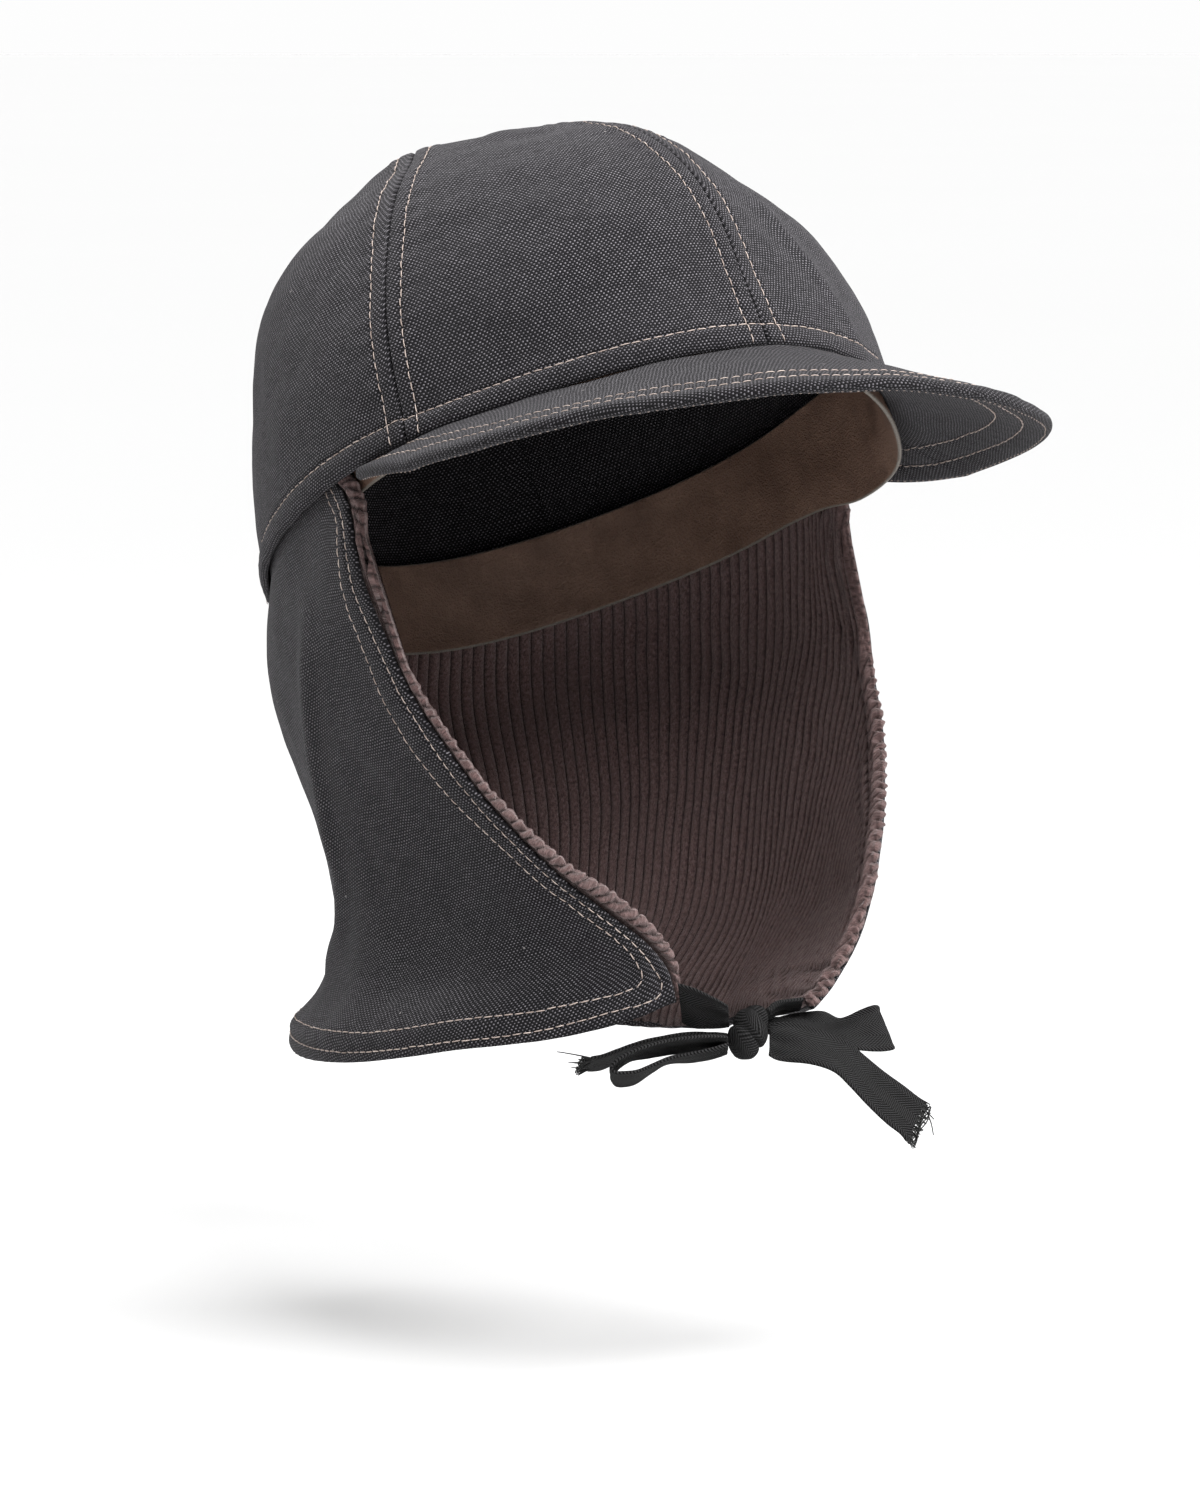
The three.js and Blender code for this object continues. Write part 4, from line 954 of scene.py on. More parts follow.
def hem_relief(d, s, seed):
    roll = .62 * np.sin(np.pi * np.clip(d / HEM, 0, 1)) ** .8
    allow = .25 * smooth((9.4 - d) / 1.6)
    dip = -.52 * np.exp(-((d - HEM) / .7) ** 2)
    rope = .12 * np.sin(2 * np.pi * (s + d * .9) / 6.4 + 1.5 * np.sin(s / 17 + seed)) * np.clip(1 - np.abs(d - 3.2) / 3.2, 0, 1)
    pucker = .15 * np.sin(2 * np.pi * s / 7.3 + 1.9 * np.sin(s / 15 + seed)) * np.exp(-((d - HEM - 2.0) / 3.4) ** 2)
    return roll + allow + dip + rope + pucker


def crown_panel(name, left, right, seed):
    """left, right: (base, swing) of the bounding seams, with left's angle the lower."""
    n_mid = 34
    lev_f = np.linspace(0, TOP, 600)
    am = .5 * (left[0] + right[0] + (left[1] + right[1]) * lev_f)
    run = arc(crown_face(am, lev_f), 0)
    up = np.concatenate([np.array(NEAR_HEM), np.linspace(NEAR_HEM[-1], run[-1], int((run[-1] - 11) / 1.05))[1:]])
    lev = np.interp(up, run, lev_f)
    a = left[0] + left[1] * lev
    b = right[0] + right[1] * lev
    t = np.linspace(0, 1, 61)
    fine = crown_face(a[:, None] + (b - a)[:, None] * t, lev[:, None])
    wide_f = arc(fine, 1)
    wide = wide_f[:, -1]
    gap = .09
    x = gap + spread(np.maximum(.3, wide - 2 * gap), NEAR_SEAM, n_mid)
    tt = np.stack([np.interp(x[k], wide_f[k], t) for k in range(len(lev))])
    deg = a[:, None] + (b - a)[:, None] * tt
    lv = np.repeat(lev[:, None], deg.shape[1], 1)
    face = crown(deg, lv, 0.0)
    nor = crown_normal(deg, lv)
    # slanting seams: true distance is a little less than along the row
    lean_l = np.cos(np.arctan(np.abs(left[1]) * .0193))
    lean_r = np.cos(np.arctan(np.abs(right[1]) * .0193))
    dl = (x - gap) * lean_l
    dr = (np.maximum(.3, wide - 2 * gap)[:, None] - (x - gap)) * lean_r
    dl, dr = np.maximum(dl, 0), np.maximum(dr, 0)
    ds = np.minimum(dl, dr)
    run_row = np.repeat(up[:, None], deg.shape[1], 1)
    side = wide_f[:, -1:] * tt
    relief = crown_relief(face)
    near_apex = smooth((run[-1] - run_row - 1) / 12)
    sr = np.maximum(seam_relief(dl, run_row, seed), 0) * (dl <= dr) + np.maximum(seam_relief(dr, run_row, seed + 3), 0) * (dl > dr)
    sr = np.where(ds < 14, np.where(dl <= dr, seam_relief(dl, run_row, seed), seam_relief(dr, run_row, seed + 3)), 0)
    hr = hem_relief(run_row, side + seed * 31, seed)
    w = smooth((run_row - 4) / 6)
    relief = relief * smooth(run_row / 9) * (1 - .35 * np.exp(-(ds / 5) ** 2)) + sr * (.45 + .55 * w) * near_apex + hr * (1 - .0 * w)
    half = WALL / 2
    edge = np.minimum(ds, run_row)
    t_out = np.where(ds < run_row, rounded(ds, .40) / .40 * half, rounded(edge, half))
    mid = face - nor * half
    outer = mid + nor * (t_out + relief * np.clip(edge / .9, 0, 1))[..., None]
    inner = mid - nor * (rounded(edge, half) + .35 * smooth((8.0 - ds) / 1.0) * np.clip(edge / .9, 0, 1) * near_apex)[..., None]
    centre = .5 * wide[:, None]
    uv = np.stack([side - centre + seed * 40, arc(outer, 0) + seed * 17], -1)
    ob = shell(name, outer, inner, uv, canvas, second=canvas_back)
    return ob, dict(left=left, right=right, lev=lev, up=up, deg=deg, outer=outer, inner=inner, nor=nor, x=x, wide=wide, dl=dl, dr=dr, side=side)


SEAMS = {"front": (0.0, 0.0), "right": (SIDE_SEAM, SIDE_SWING), "left": (-SIDE_SEAM, -SIDE_SWING),
         "rear_right": (REAR_SEAM, 0.0), "rear_left": (-REAR_SEAM, 0.0)}
PANELS = [("crown_front_right", SEAMS["front"], SEAMS["right"], 1),
          ("crown_front_left", SEAMS["left"], SEAMS["front"], 2),
          ("crown_side_right", SEAMS["right"], SEAMS["rear_right"], 3),
          ("crown_side_left", SEAMS["rear_left"], SEAMS["left"], 4),
          ("crown_back", SEAMS["rear_right"], (360 - REAR_SEAM, 0.0), 5)]
pieces = {}
for name, left, right, seed in PANELS:
    ob, info = crown_panel(name + "_cloth", left, right, seed)
    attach(ob, "root")
    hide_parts(name)
    pieces[name] = (ob, info)

    # rows beside both seams, and the hem row, on the cloth's outer face
    outer, nor, up = info["outer"], info["nor"], info["up"]
    for which, d in (("a", info["dl"]), ("b", info["dr"])):
        line, ns = [], []
        for k in range(len(up)):
            if up[k] < .8 or up[k] > up[-1] - 3.2 or info["wide"][k] < 2.3 * ROW:
                continue
            dk = d[k] if which == "a" else d[k][::-1]
            pk = outer[k] if which == "a" else outer[k][::-1]
            nk = nor[k] if which == "a" else nor[k][::-1]
            line.append([np.interp(ROW, dk, pk[:, c]) for c in range(3)])
            ns.append([np.interp(ROW, dk, nk[:, c]) for c in range(3)])
        stitch_row("crown_stitches", np.array(line), np.array(ns), seed=seed * 10 + (which == "b"), lift=.20)
    line = np.stack([[np.interp(HEM, up, outer[:, i, c]) for c in range(3)] for i in range(outer.shape[1])])
    ns = np.stack([[np.interp(HEM, up, nor[:, i, c]) for c in range(3)] for i in range(outer.shape[1])])
    stitch_row("crown_stitches", line, ns, seed=seed * 10 + 5, lift=.22, start=.3, end=.3)


def allowance(name, base, swing, half=6.8):
    """The crown's seam allowances, pressed flat along one seam on the inside."""
    lev = np.linspace(.018, .975, 110)
    mid = base + swing * lev
    per = np.linalg.norm(crown_face(mid + .5, lev) - crown_face(mid - .5, lev), axis=-1)
    wide = np.minimum(half, per * 22)
    across = np.array([-1, -.97, -.88, -.6, -.25, -.06, .06, .25, .6, .88, .97, 1.0])
    deg = mid[:, None] + across[None] * (wide / per)[:, None]
    lv = np.repeat(lev[:, None], len(across), 1)
    face, nor = crown(deg, lv), crown_normal(deg, lv)
    edge = np.minimum((1 - np.abs(across))[None] * wide[:, None], arc(face[:, 5], 0)[:, None])
    edge = np.minimum(edge, (arc(face[:, 5], 0)[-1] - arc(face[:, 5], 0))[:, None])
    t = rounded(edge, .3)
    outer = face + nor * (-2.55 + t)[..., None]
    inner = face + nor * (-2.55 - t)[..., None]
    s_up = arc(face[:, 5], 0)[:, None] + 0 * deg
    uv = np.stack([across[None] * wide[:, None] + base, s_up], -1)
    ob = shell(name, outer, inner, uv, canvas_back)
    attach(ob, "root")


for name, base, swing in (("front", 0, 0), ("right", SIDE_SEAM, SIDE_SWING), ("left", -SIDE_SEAM, -SIDE_SWING),
                          ("rear_right", REAR_SEAM, 0), ("rear_left", -REAR_SEAM, 0)):
    allowance("seam_allowance_" + name, base, swing)


def top_patch():
    """A small round of cloth inside, over the point where the seams meet."""
    rings = np.array([.9999, .995, .99, .98, .968, .955, .9515, .95])
    deg = np.linspace(-180, 180, 61)
    D, L = np.meshgrid(deg, rings)
    face, nor = crown(D, L), crown_normal(D, L)
    face[0], nor[0] = face[0].mean(0), nor[0].mean(0)
    t = np.array([.3, .3, .3, .3, .3, .3, .2, 0])[:, None]
    outer, inner = face + nor * (-3.25 + t)[..., None], face + nor * (-3.25 - t)[..., None]
    n = len(deg) - 1
    verts, ids = [outer[0, :1], inner[0, :1]], []
    for g, rows in ((outer, range(1, 8)), (inner, range(1, 7))):
        ids.append([])
        for k in rows:
            ids[-1].append(sum(len(v) for v in verts) + np.arange(n))
            verts.append(g[k, :n])
    ids[1].append(ids[0][-1])
    quads, tris = [], []
    for g, flip in ((0, False), (1, True)):
        centre = g
        a = ids[g][0]
        b = np.roll(a, -1)
        t3 = np.stack([np.full(n, centre), b, a] if flip else [np.full(n, centre), a, b], -1)
        tris.append(t3)
        for k in range(6):
            a, b = ids[g][k], ids[g][k + 1]
            a1, b1 = np.roll(a, -1), np.roll(b, -1)
            quads.append(np.stack([a, a1, b1, b] if flip else [a, b, b1, a1], -1))
    v = np.concatenate(verts)
    quads, tris = np.concatenate(quads), np.concatenate(tris)
    if volume(v, [quads, tris]) < 0:
        quads, tris = quads[:, ::-1], tris[:, ::-1]
    uv = v[:, :2]
    uvs = np.concatenate([uv[quads].reshape(-1, 2), uv[tris].reshape(-1, 2)])
    ob = build("crown_top_patch", v, [quads, tris], uvs, None, canvas_back)
    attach(ob, "root")


top_patch()

# --------------------------------------------------------------------- brim
NEAR_RIM = [0, .1, .35, .75, 1.2, 1.7, 2.3, 3.1, 4.0, 5.0, 5.8, 6.2, 6.5, 6.8, 7.2, 8.2, 9.6, 11.0, 12.2, 12.8, 13.1, 13.4, 13.8, 15, 17, 20]


def brim_piece():
    end = .972
    w = np.linspace(-end, end, 420)
    w = np.sign(w) * (np.abs(w) ** 1.0)
    px, pf, ph = root_plan(w)
    qx, qf, qh = rim_plan(w)
    size = np.hypot(qx - px, qf - pf)
    rim = np.stack([qx, qf], -1)
    tan = norm(np.gradient(rim, axis=0))
    rays = norm(np.stack([qx - px, qf - pf], -1))
    square = np.abs(rays[:, 0] * tan[:, 1] - rays[:, 1] * tan[:, 0])  # sine of the angle at the rim
    near = np.array(NEAR_RIM)
    # perpendicular distance from the rim, per column, from rim (first) to root (last)
    full = size * square + 1.6
    steps = np.concatenate([near, near[-1] + (1 - near[-1] / 60) * 0 + np.linspace(0, 1, 26)[1:] * 1000])
    rows = []
    for k in range(len(w)):
        f = full[k]
        s = min(1.0, f / 26.0)
        rows.append(np.concatenate([near * s, np.linspace(near[-1] * s, f, 26)[1:]]))
    d = np.stack(rows, 1)  # [row, column] distance from the rim
    r = 1 - d / np.maximum(1e-6, size * square)[None]
    W = np.repeat(w[None], len(d), 0)
    mid = brim_mid(W, r)
    nor = grid_normal(mid)
    if nor[0, len(w) // 2] @ UP_LEAN < 0:
        nor = -nor
    along = arc(np.stack([qx, qf, qh], -1), 0)[None] + 0 * d
    ends = np.minimum(along, along[:, -1:] - along)
    half = BRIM_THICK / 2
    t = rounded(d, half) * np.clip(ends / .6, 0, 1) ** .5
    # quilting between rows, puckers, and a soft wave
    q = (-.34 * np.exp(-((d - 6.5) / .6) ** 2) - .30 * np.exp(-((d - 13.2) / .6) ** 2)
         + .16 * np.sin(np.pi * np.clip(d / 6.5, 0, 1)) + .12 * np.sin(np.pi * np.clip((d - 6.5) / 6.7, 0, 1)))
    q += .08 * np.sin(2 * np.pi * along / 6.6 + 1.4 * np.sin(along / 21)) * np.exp(-((d - 8) / 5) ** 2)
    bend = sway(mid, ((60, .30), (24, .16), (11, .06)), 23)
    seam = -.38 * np.exp(-((d - 1.15) / .28) ** 2)
    soft = np.clip(d / 1.4, 0, 1)
    root = np.clip((r - 0.0) * size[None] / 1.0, 0, 1)
    outer = mid + nor * (t + (q + bend) * soft)[..., None]
    inner = mid - nor * (t + q * soft + seam - bend * soft * .9)[..., None]
    r_cloth = 1 - arc(outer, 0) / np.maximum(1e-6, size * square)[None]
    lx = px[None] + (qx - px)[None] * r_cloth
    lf = pf[None] + (qf - pf)[None] * r_cloth
    uv = np.stack([lx + 300, lf], -1)
    ob = shell("brim_cloth", outer, inner, uv, canvas_brim_painted_shade, second=None)
    cover = []
    for at, seed in ((6.5, 71), (13.2, 72)):
        for grid, sign, s2 in ((outer, 1, 0), (inner, -1, 5)):
            line, ns = [], []
            for k in range(2, len(w) - 2):
                if full[k] < at + 1.2:
                    continue
                line.append([np.interp(at, d[:, k], grid[:, k, c]) for c in range(3)])
                ns.append([sign * np.interp(at, d[:, k], nor[:, k, c]) for c in range(3)])
            stitch_row("brim_stitches", np.array(line), np.array(ns), seed=seed + s2, lift=.2)
    # the cover's seam under the rim: small dark thread ends
    line, ns = [], []
    for k in range(2, len(w) - 2):
        line.append([np.interp(1.15, d[:, k], inner[:, k, c]) for c in range(3)])
        ns.append([-np.interp(1.15, d[:, k], nor[:, k, c]) for c in range(3)])
    stitch_row("brim_edge_stitches", np.array(line), np.array(ns), seed=83, pitch=2.4, length=.9, radius=.14, lift=.08, pale=-.1)
    return ob


brim = brim_piece()
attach(brim, "root")
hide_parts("brim")


# ---------------------------------------------------------------- sweatband
def band_piece():
    n = 420
    deg = np.linspace(-180, 180, n + 1)
    length = BAND_TOP + col(BAND, 1, deg)
    near = [0, .05, .16, .34, .65, 1.1, 1.8]
    x = spread(length, near, 20)          # [column, row]
    v = (x / length[:, None]).T
    D = np.repeat(deg[None], v.shape[0], 0)
    mid = band_mid(D, v)
    nor = grid_normal(mid, loop=True)
    if (nor[5, n // 2] @ np.array([0, -1.0, 0])) < 0:   # front of the band faces -Y
        nor = -nor
    edge = np.minimum(x, length[:, None] - x).T
    t = rounded(edge, BAND_THICK / 2)
    wave = sway(mid, ((38, .28), (16, .12), (8, .05)), 31)
    wave *= smooth(edge / 3)
    outer = mid + nor * (t + np.minimum(.25, wave) * .5)[..., None]
    inner = mid - nor * (t - wave * .8)[..., None]
    s = arc(mid[len(near) + 6][None], 1)[0]
    uv = np.stack([np.repeat(s[None], v.shape[0], 0), x.T], -1)
    cut = 1 - smooth((edge - .30) / .35)
    ob = shell("sweatband_leather", outer, inner, uv, leather, loop=True, values={"cut": (cut, cut)})
    return ob


band = band_piece()
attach(band, "root")
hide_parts("sweatband")

# --------------------------------------------------------------- neck flap
FLAP_THICK = 1.2
NEAR_FLAP = [0, .05, .16, .34, .6, 1.0, 1.6, 2.4, 3.3, 4.1, 4.6, 4.9, 5.2, 5.6, 6.4, 7.6, 9.0, 10.4, 11.2, 11.7, 12.0, 12.3, 12.8, 13.6, 14.8, 16.5]
# how far the two stitch rows lie from the flap's front edge, by fall, and
# from its bottom edge, by degrees round
FRONT_ROWS = np.array([
    [0, 2.9, 5.5], [.1, 2.8, 6.5], [.16, 3.2, 7.6], [.2, 3.6, 8.8], [.27, 3.6, 9.7], [.35, 2.8, 10.3], [.43, 2.5, 10.2],
    [.5, 3.2, 10.0], [.56, 3.0, 9.6], [.61, 2.6, 8.1], [.66, 2.3, 6.9], [.72, 2.1, 5.8], [.78, 1.9, 4.8], [.84, 1.9, 4.4],
    [.88, 2.4, 5.0], [.92, 2.9, 6.2], [.96, 3.1, 7.0], [1, 3.2, 7.4]])
BOTTOM_ROWS = np.array([
    [10, 3.0, 8.2], [20, 3.0, 8.2], [28, 3.7, 8.1], [34, 3.5, 8.5], [40, 3.1, 8.4], [46, 2.8, 8.2], [54, 2.4, 8.2],
    [64, 2.5, 8.1], [75, 2.6, 7.8], [86, 2.7, 7.8], [94, 3.1, 8.1], [102, 3.6, 8.4], [113, 4.2, 8.9], [135, 3.9, 8.6],
    [180, 3.6, 8.2]])


def merge_dist(a, b, k):
    return -k * np.log(np.exp(-np.clip(a, 0, 60) / k) + np.exp(-np.clip(b, 0, 60) / k) + 1e-30)


FOLDS = [  # soft folds of the flap: points (side, degrees, fall), width, how far out
    ([(1, 96, .20), (1, 99, .30), (1, 103, .42), (1, 104, .54), (1, 105, .64), (1, 111, .73), (1, 119, .80)], 4.6, 2.1),
    ([(1, 112, .26), (1, 116, .42), (1, 117, .56), (1, 120, .68)], 7.0, -.9),
    ([(1, 128, .30), (1, 120, .48), (1, 115, .66)], 9.0, -1.0),
    ([(1, 100, .62), (1, 96, .78), (1, 96, .92)], 10.0, .8),
    ([(1, 78, .55), (1, 74, .72), (1, 76, .90)], 11.0, -.7),
    ([(1, 165, .35), (1, 158, .60), (1, 150, .80)], 8.0, -1.2),
    ([(1, 178, .30), (1, 175, .55), (1, 170, .82)], 8.0, 1.2),
    ([(-1, 160, .35), (-1, 152, .60), (-1, 144, .82)], 8.0, 1.2),
    ([(-1, 135, .30), (-1, 128, .55), (-1, 122, .80)], 9.0, -1.0),
    ([(-1, 105, .45), (-1, 100, .70), (-1, 100, .90)], 9.0, .9),
    ([(1, 92, .04), (1, 104, .05), (1, 120, .05)], 5.0, .5),
    ([(1, 84, .20), (1, 96, .30), (1, 108, .36)], 8.0, .6),
]
FOLD_LINES = []
for pts, wide, by in FOLDS:
    q = np.array(pts, float)
    t = np.linspace(0, 1, len(q))
    tt = np.linspace(0, 1, 50)
    FOLD_LINES.append((flap_at(q[0, 0], np.interp(tt, t, q[:, 1]), np.interp(tt, t, q[:, 2])), wide, by,
                       np.sin(np.pi * (tt * .86 + .07)) ** .6))


def flap_sway(p, fall):
    out = sway(p, ((80, .9), (40, .5), (20, .18), (10, .06)), 47)
    for line, wide, by, fade in FOLD_LINES:
        lo, hi = line.min(0) - 3 * wide, line.max(0) + 3 * wide
        mask = np.all((p > lo) & (p < hi), -1)
        if mask.any():
            q = p[mask]
            d = np.linalg.norm(q[:, None] - line[None], axis=-1)
            j = d.argmin(1)
            out[mask] += by * fade[j] * np.exp(-(d[np.arange(len(j)), j] / wide) ** 2)
    return out * smooth(np.maximum(0, fall) / .10)


def flap_start(side, fall):
    return flap_row(np.maximum(0, fall), side)[5]


ANG_REF = np.linspace(0, 180, 721)
REF_ARC = {s: arc(flap_at(s, ANG_REF, .30 + 0 * ANG_REF), 0) for s in (1.0, -1.0)}


def wale_at(side, deg):
    """Distance round from the back, in mm, that a vertical thread of the flap has."""
    a = REF_ARC[side]
    return side * (a[-1] - np.interp(deg, ANG_REF, a))


def flap_piece():
    fall_f = np.concatenate([np.linspace(-.06, 0, 12)[:-1], np.linspace(0, 1, 240)])
    # rows: even in fall, dense at the bottom edge; about 145 mm from top to bottom
    span = 128.0
    d_bot = np.concatenate([np.array(NEAR_FLAP), np.linspace(NEAR_FLAP[-1], span, 54)[1:]])
    fall = np.concatenate([1 - d_bot / span, [-.012, -.03, -.048, -.056, -.06]])
    sides = []
    for side in (-1.0, 1.0):
        st = flap_start(side, fall)
        t = np.linspace(0, 1, 161)
        deg_f = st[:, None] + (180 - st[:, None]) * t
        wide_f = arc(flap_at(side, deg_f, fall[:, None]), 1)
        wide = wide_f[:, -1]
        near = np.array(NEAR_FLAP)
        steps = np.linspace(0, 1, 98)[1:]
        x = np.concatenate([np.repeat(near[None], len(fall), 0), near[-1] + (wide - near[-1])[:, None] * steps], 1)
        deg = np.stack([np.interp(x[k], wide_f[k], deg_f[k]) for k in range(len(fall))])
        sides.append((side, x, deg))
    (s0, x0, g0), (s1, x1, g1) = sides
    P = np.concatenate([flap_at(-1.0, g0, fall[:, None]), flap_at(1.0, g1, fall[:, None])[:, ::-1][:, 1:]], 1)
    X = np.concatenate([x0, x1[:, ::-1][:, 1:]], 1)
    G = np.concatenate([g0, g1[:, ::-1][:, 1:]], 1)
    S = np.concatenate([-np.ones_like(g0), np.ones_like(g1[:, 1:])], 1)
    F = np.repeat(fall[:, None], P.shape[1], 1)
    nor = flap_normal(S, G, F)
    k = P.shape[1] // 2
    if nor[40, k] @ np.array([0, 1.0, 0]) < 0:
        nor = -nor
    # distances to the front and bottom edges
    fl = np.linspace(0, 1, 500)
    front = np.full(P.shape[:2], 99.0)
    for side in (-1.0, 1.0):
        line = flap_at(side, flap_start(side, fl), fl)
        m = (X < 26) & (S == side)
        front[m] = dist_to_line(P[m], line)[0]
    low = np.concatenate([flap_at(-1.0, np.linspace(flap_start(-1.0, np.array(1.0)), 180, 400), 1.0),
                          flap_at(1.0, np.linspace(180, flap_start(1.0, np.array(1.0)), 400), 1.0)[1:]])
    bottom = np.full(P.shape[:2], 99.0)
    m = F > .70
    bottom[m], _ = dist_to_line(P[m], low)
    front = np.where(F < 0, X, front)
    r1f, r2f = col(FRONT_ROWS, 1, F), col(FRONT_ROWS, 2, F)
    r1b, r2b = col(BOTTOM_ROWS, 1, G), col(BOTTOM_ROWS, 2, G)
    A1 = merge_dist(front / r1f, bottom / r1b, .42)
    A2 = merge_dist(front / r2f, bottom / r2b, .22)
    near_front = front / r2f < bottom / r2b
    r1, r2 = np.where(near_front, r1f, r1b), np.where(near_front, r2f, r2b)
    edge = np.minimum(front, bottom)
    top = (F + .06) / .06 * 8
    edge = np.minimum(edge, np.maximum(0, top))
    half = FLAP_THICK / 2
    t = rounded(edge, half)
    wave = flap_sway(P, F)
    along = G * 1.3 + F * 120
    hem = .34 * smooth((r2 * (1 - A2) + 1.9) / 1.5)
    rows = -.36 * np.exp(-((A1 - 1) * r1 / .55) ** 2) - .36 * np.exp(-((A2 - 1) * r2 / .6) ** 2)
    puff = .16 * np.sin(np.pi * np.clip(A1, 0, 1)) + .16 * np.sin(np.pi * np.clip((A2 - r1 / r2) / (1 - r1 / r2), 0, 1))
    pucker = .13 * np.sin(2 * np.pi * along / 7.1 + 1.6 * np.sin(along / 19)) * np.exp(-((A2 - 1) * r2 / 3.4) ** 2)
    soft = np.clip(edge / .8, 0, 1) * smooth(F / .05)
    P2 = P + nor * (wave * np.clip(edge / 4, .35, 1))[..., None]
    outer = P2 + nor * (t + (hem + rows + puff + pucker) * soft)[..., None]
    inner = P2 - nor * t[..., None]
    u = arc(P, 1)
    u = u - u[:, g0.shape[1] - 1:g0.shape[1]]
    for side in (-1.0, 1.0):
        m = S == side
        fl = np.linspace(-.06, 1, 213)
        quarter = arc(flap_at(side, np.linspace(90, 180, 91)[None], fl[:, None]), 1)[:, -1]
        more = np.interp(F[m], fl, quarter) - np.interp(.6, fl, quarter)
        u[m] -= side * more * smooth((180 - G[m]) / 90)
    v = np.zeros_like(u)
    for side in (-1.0, 1.0):
        down = flap_at(side, np.arange(181.0)[:, None], np.linspace(-.06, 1, 213)[None])
        down = arc(down, 1)
        down = down[:, -1:] - down
        m = S == side
        gi, fi = np.clip(G[m], 0, 179.999), np.clip((F[m] + .06) / 1.06 * 212, 0, 211.999)
        i, j = gi.astype(int), fi.astype(int)
        a, b = gi - i, fi - j
        v[m] = ((down[i, j] * (1 - a) + down[i + 1, j] * a) * (1 - b) + (down[i, j + 1] * (1 - a) + down[i + 1, j + 1] * a) * b)
    # the sheet is cut a little off the grain, so the rows rise towards the wearer's right front
    uv = np.stack([u * .985 + v * .174 + 700, v * .985 - u * .174 + 200], -1)
    ob = shell("neck_flap_cloth", outer, inner, uv, canvas_flap_painted_shade, second=canvas_back)
    # stitch rows: down the front edge, round the corner, and along the bottom
    for A, split, seed in ((A1, front / r1f < bottom / r1b, 51), (A2, near_front, 52)):
        for side in (-1.0, 1.0):
            cols = np.nonzero(S[0] == side)[0]
            order = cols if side < 0 else cols[::-1]
            line, ns = [], []
            for j in [j for j in range(len(fall) - 1, -1, -1) if fall[j] > -.004]:
                dj = A[j, order]
                hit = np.nonzero((dj[:-1] < 1) & (dj[1:] >= 1))[0]
                if len(hit) == 0 or not split[j, order[hit[0]]]:
                    continue
                i = hit[0]
                f = (1 - dj[i]) / (dj[i + 1] - dj[i])
                a, b = order[i], order[i + 1]
                line.append(outer[j, a] * (1 - f) + outer[j, b] * f)
                ns.append(nor[j, a])
            for a in order:
                dj = A[:, a]
                hit = np.nonzero((dj[:-1] < 1) & (dj[1:] >= 1))[0]
                if len(hit) == 0 or split[hit[0], a]:
                    continue
                i = hit[0]
                f = (1 - dj[i]) / (dj[i + 1] - dj[i])
                line.append(outer[i, a] * (1 - f) + outer[i + 1, a] * f)
                ns.append(nor[i, a])
            stitch_row("flap_stitches", np.array(line), np.array(ns), seed=seed + int(side) * 7, start=.6, end=.0)
    return ob, P, nor


flap, flap_grid, flap_nor = flap_piece()
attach(flap, "root")
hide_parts("neck_flap")


# ------------------------------------------------------------- flap lining
WALE = 3.6
PHASES = np.array([0, .055, .13, .26, .42, .58, .74, .87, .945])
# how far the rolled edge of the lining stands past the flap's front edge
PROUD = np.array([[0, 4.6], [.07, 4.6], [.12, 3.7], [.16, 2.9], [.2, 2.3], [.25, 2.0], [.3, 2.0], [.4, 2.0], [.5, 2.2],
                  [.6, 2.6], [.66, 3.1], [.72, 3.6], [.76, 4.3], [.8, 4.7], [.84, 4.4], [.88, 3.8], [.92, 3.2], [1, 2.8]])


def wale_profile(ph):
    """0 in the groove, 1 on top of the rib."""
    return np.maximum(0, 1 - np.abs(2 * (ph % 1.0) - 1) ** 3.0) ** .60


def nose_line(side):
    """The rolled edge: degrees, fall, and how far forward its outward direction leans."""
    fl = np.linspace(0, 1, 700)
    start = flap_row(fl, side)[5]
    E = flap_at(side, start, fl)
    per_deg = np.linalg.norm(flap_at(side, start + .5, fl) - flap_at(side, start - .5, fl), axis=-1)
    lo, hi = np.clip(fl - .004, 0, 1), np.clip(fl + .004, 0, 1)
    per_fall = np.linalg.norm(flap_at(side, start, hi) - flap_at(side, start, lo), axis=-1) / (hi - lo)
    da = -per_deg * np.gradient(start)
    dh = -per_fall * np.gradient(fl)
    k = np.ones(41) / 41
    pad = lambda q: np.convolve(np.concatenate([np.full(20, q[0]), q, np.full(20, q[-1])]), k, "valid")
    da, dh = pad(da), pad(dh)
    size = np.hypot(da, dh)
    wa, wh = -dh / size, da / size
    L = .88 * col(PROUD, 1, fl)
    deg = start - L * wa / per_deg
    fall = fl - L * np.maximum(0, wh) / per_fall
    deg = np.minimum.accumulate(deg)
    fall = np.maximum(np.maximum.accumulate(fall), -.05)
    fall[-1] = 1.0
    return deg, fall, wa, L


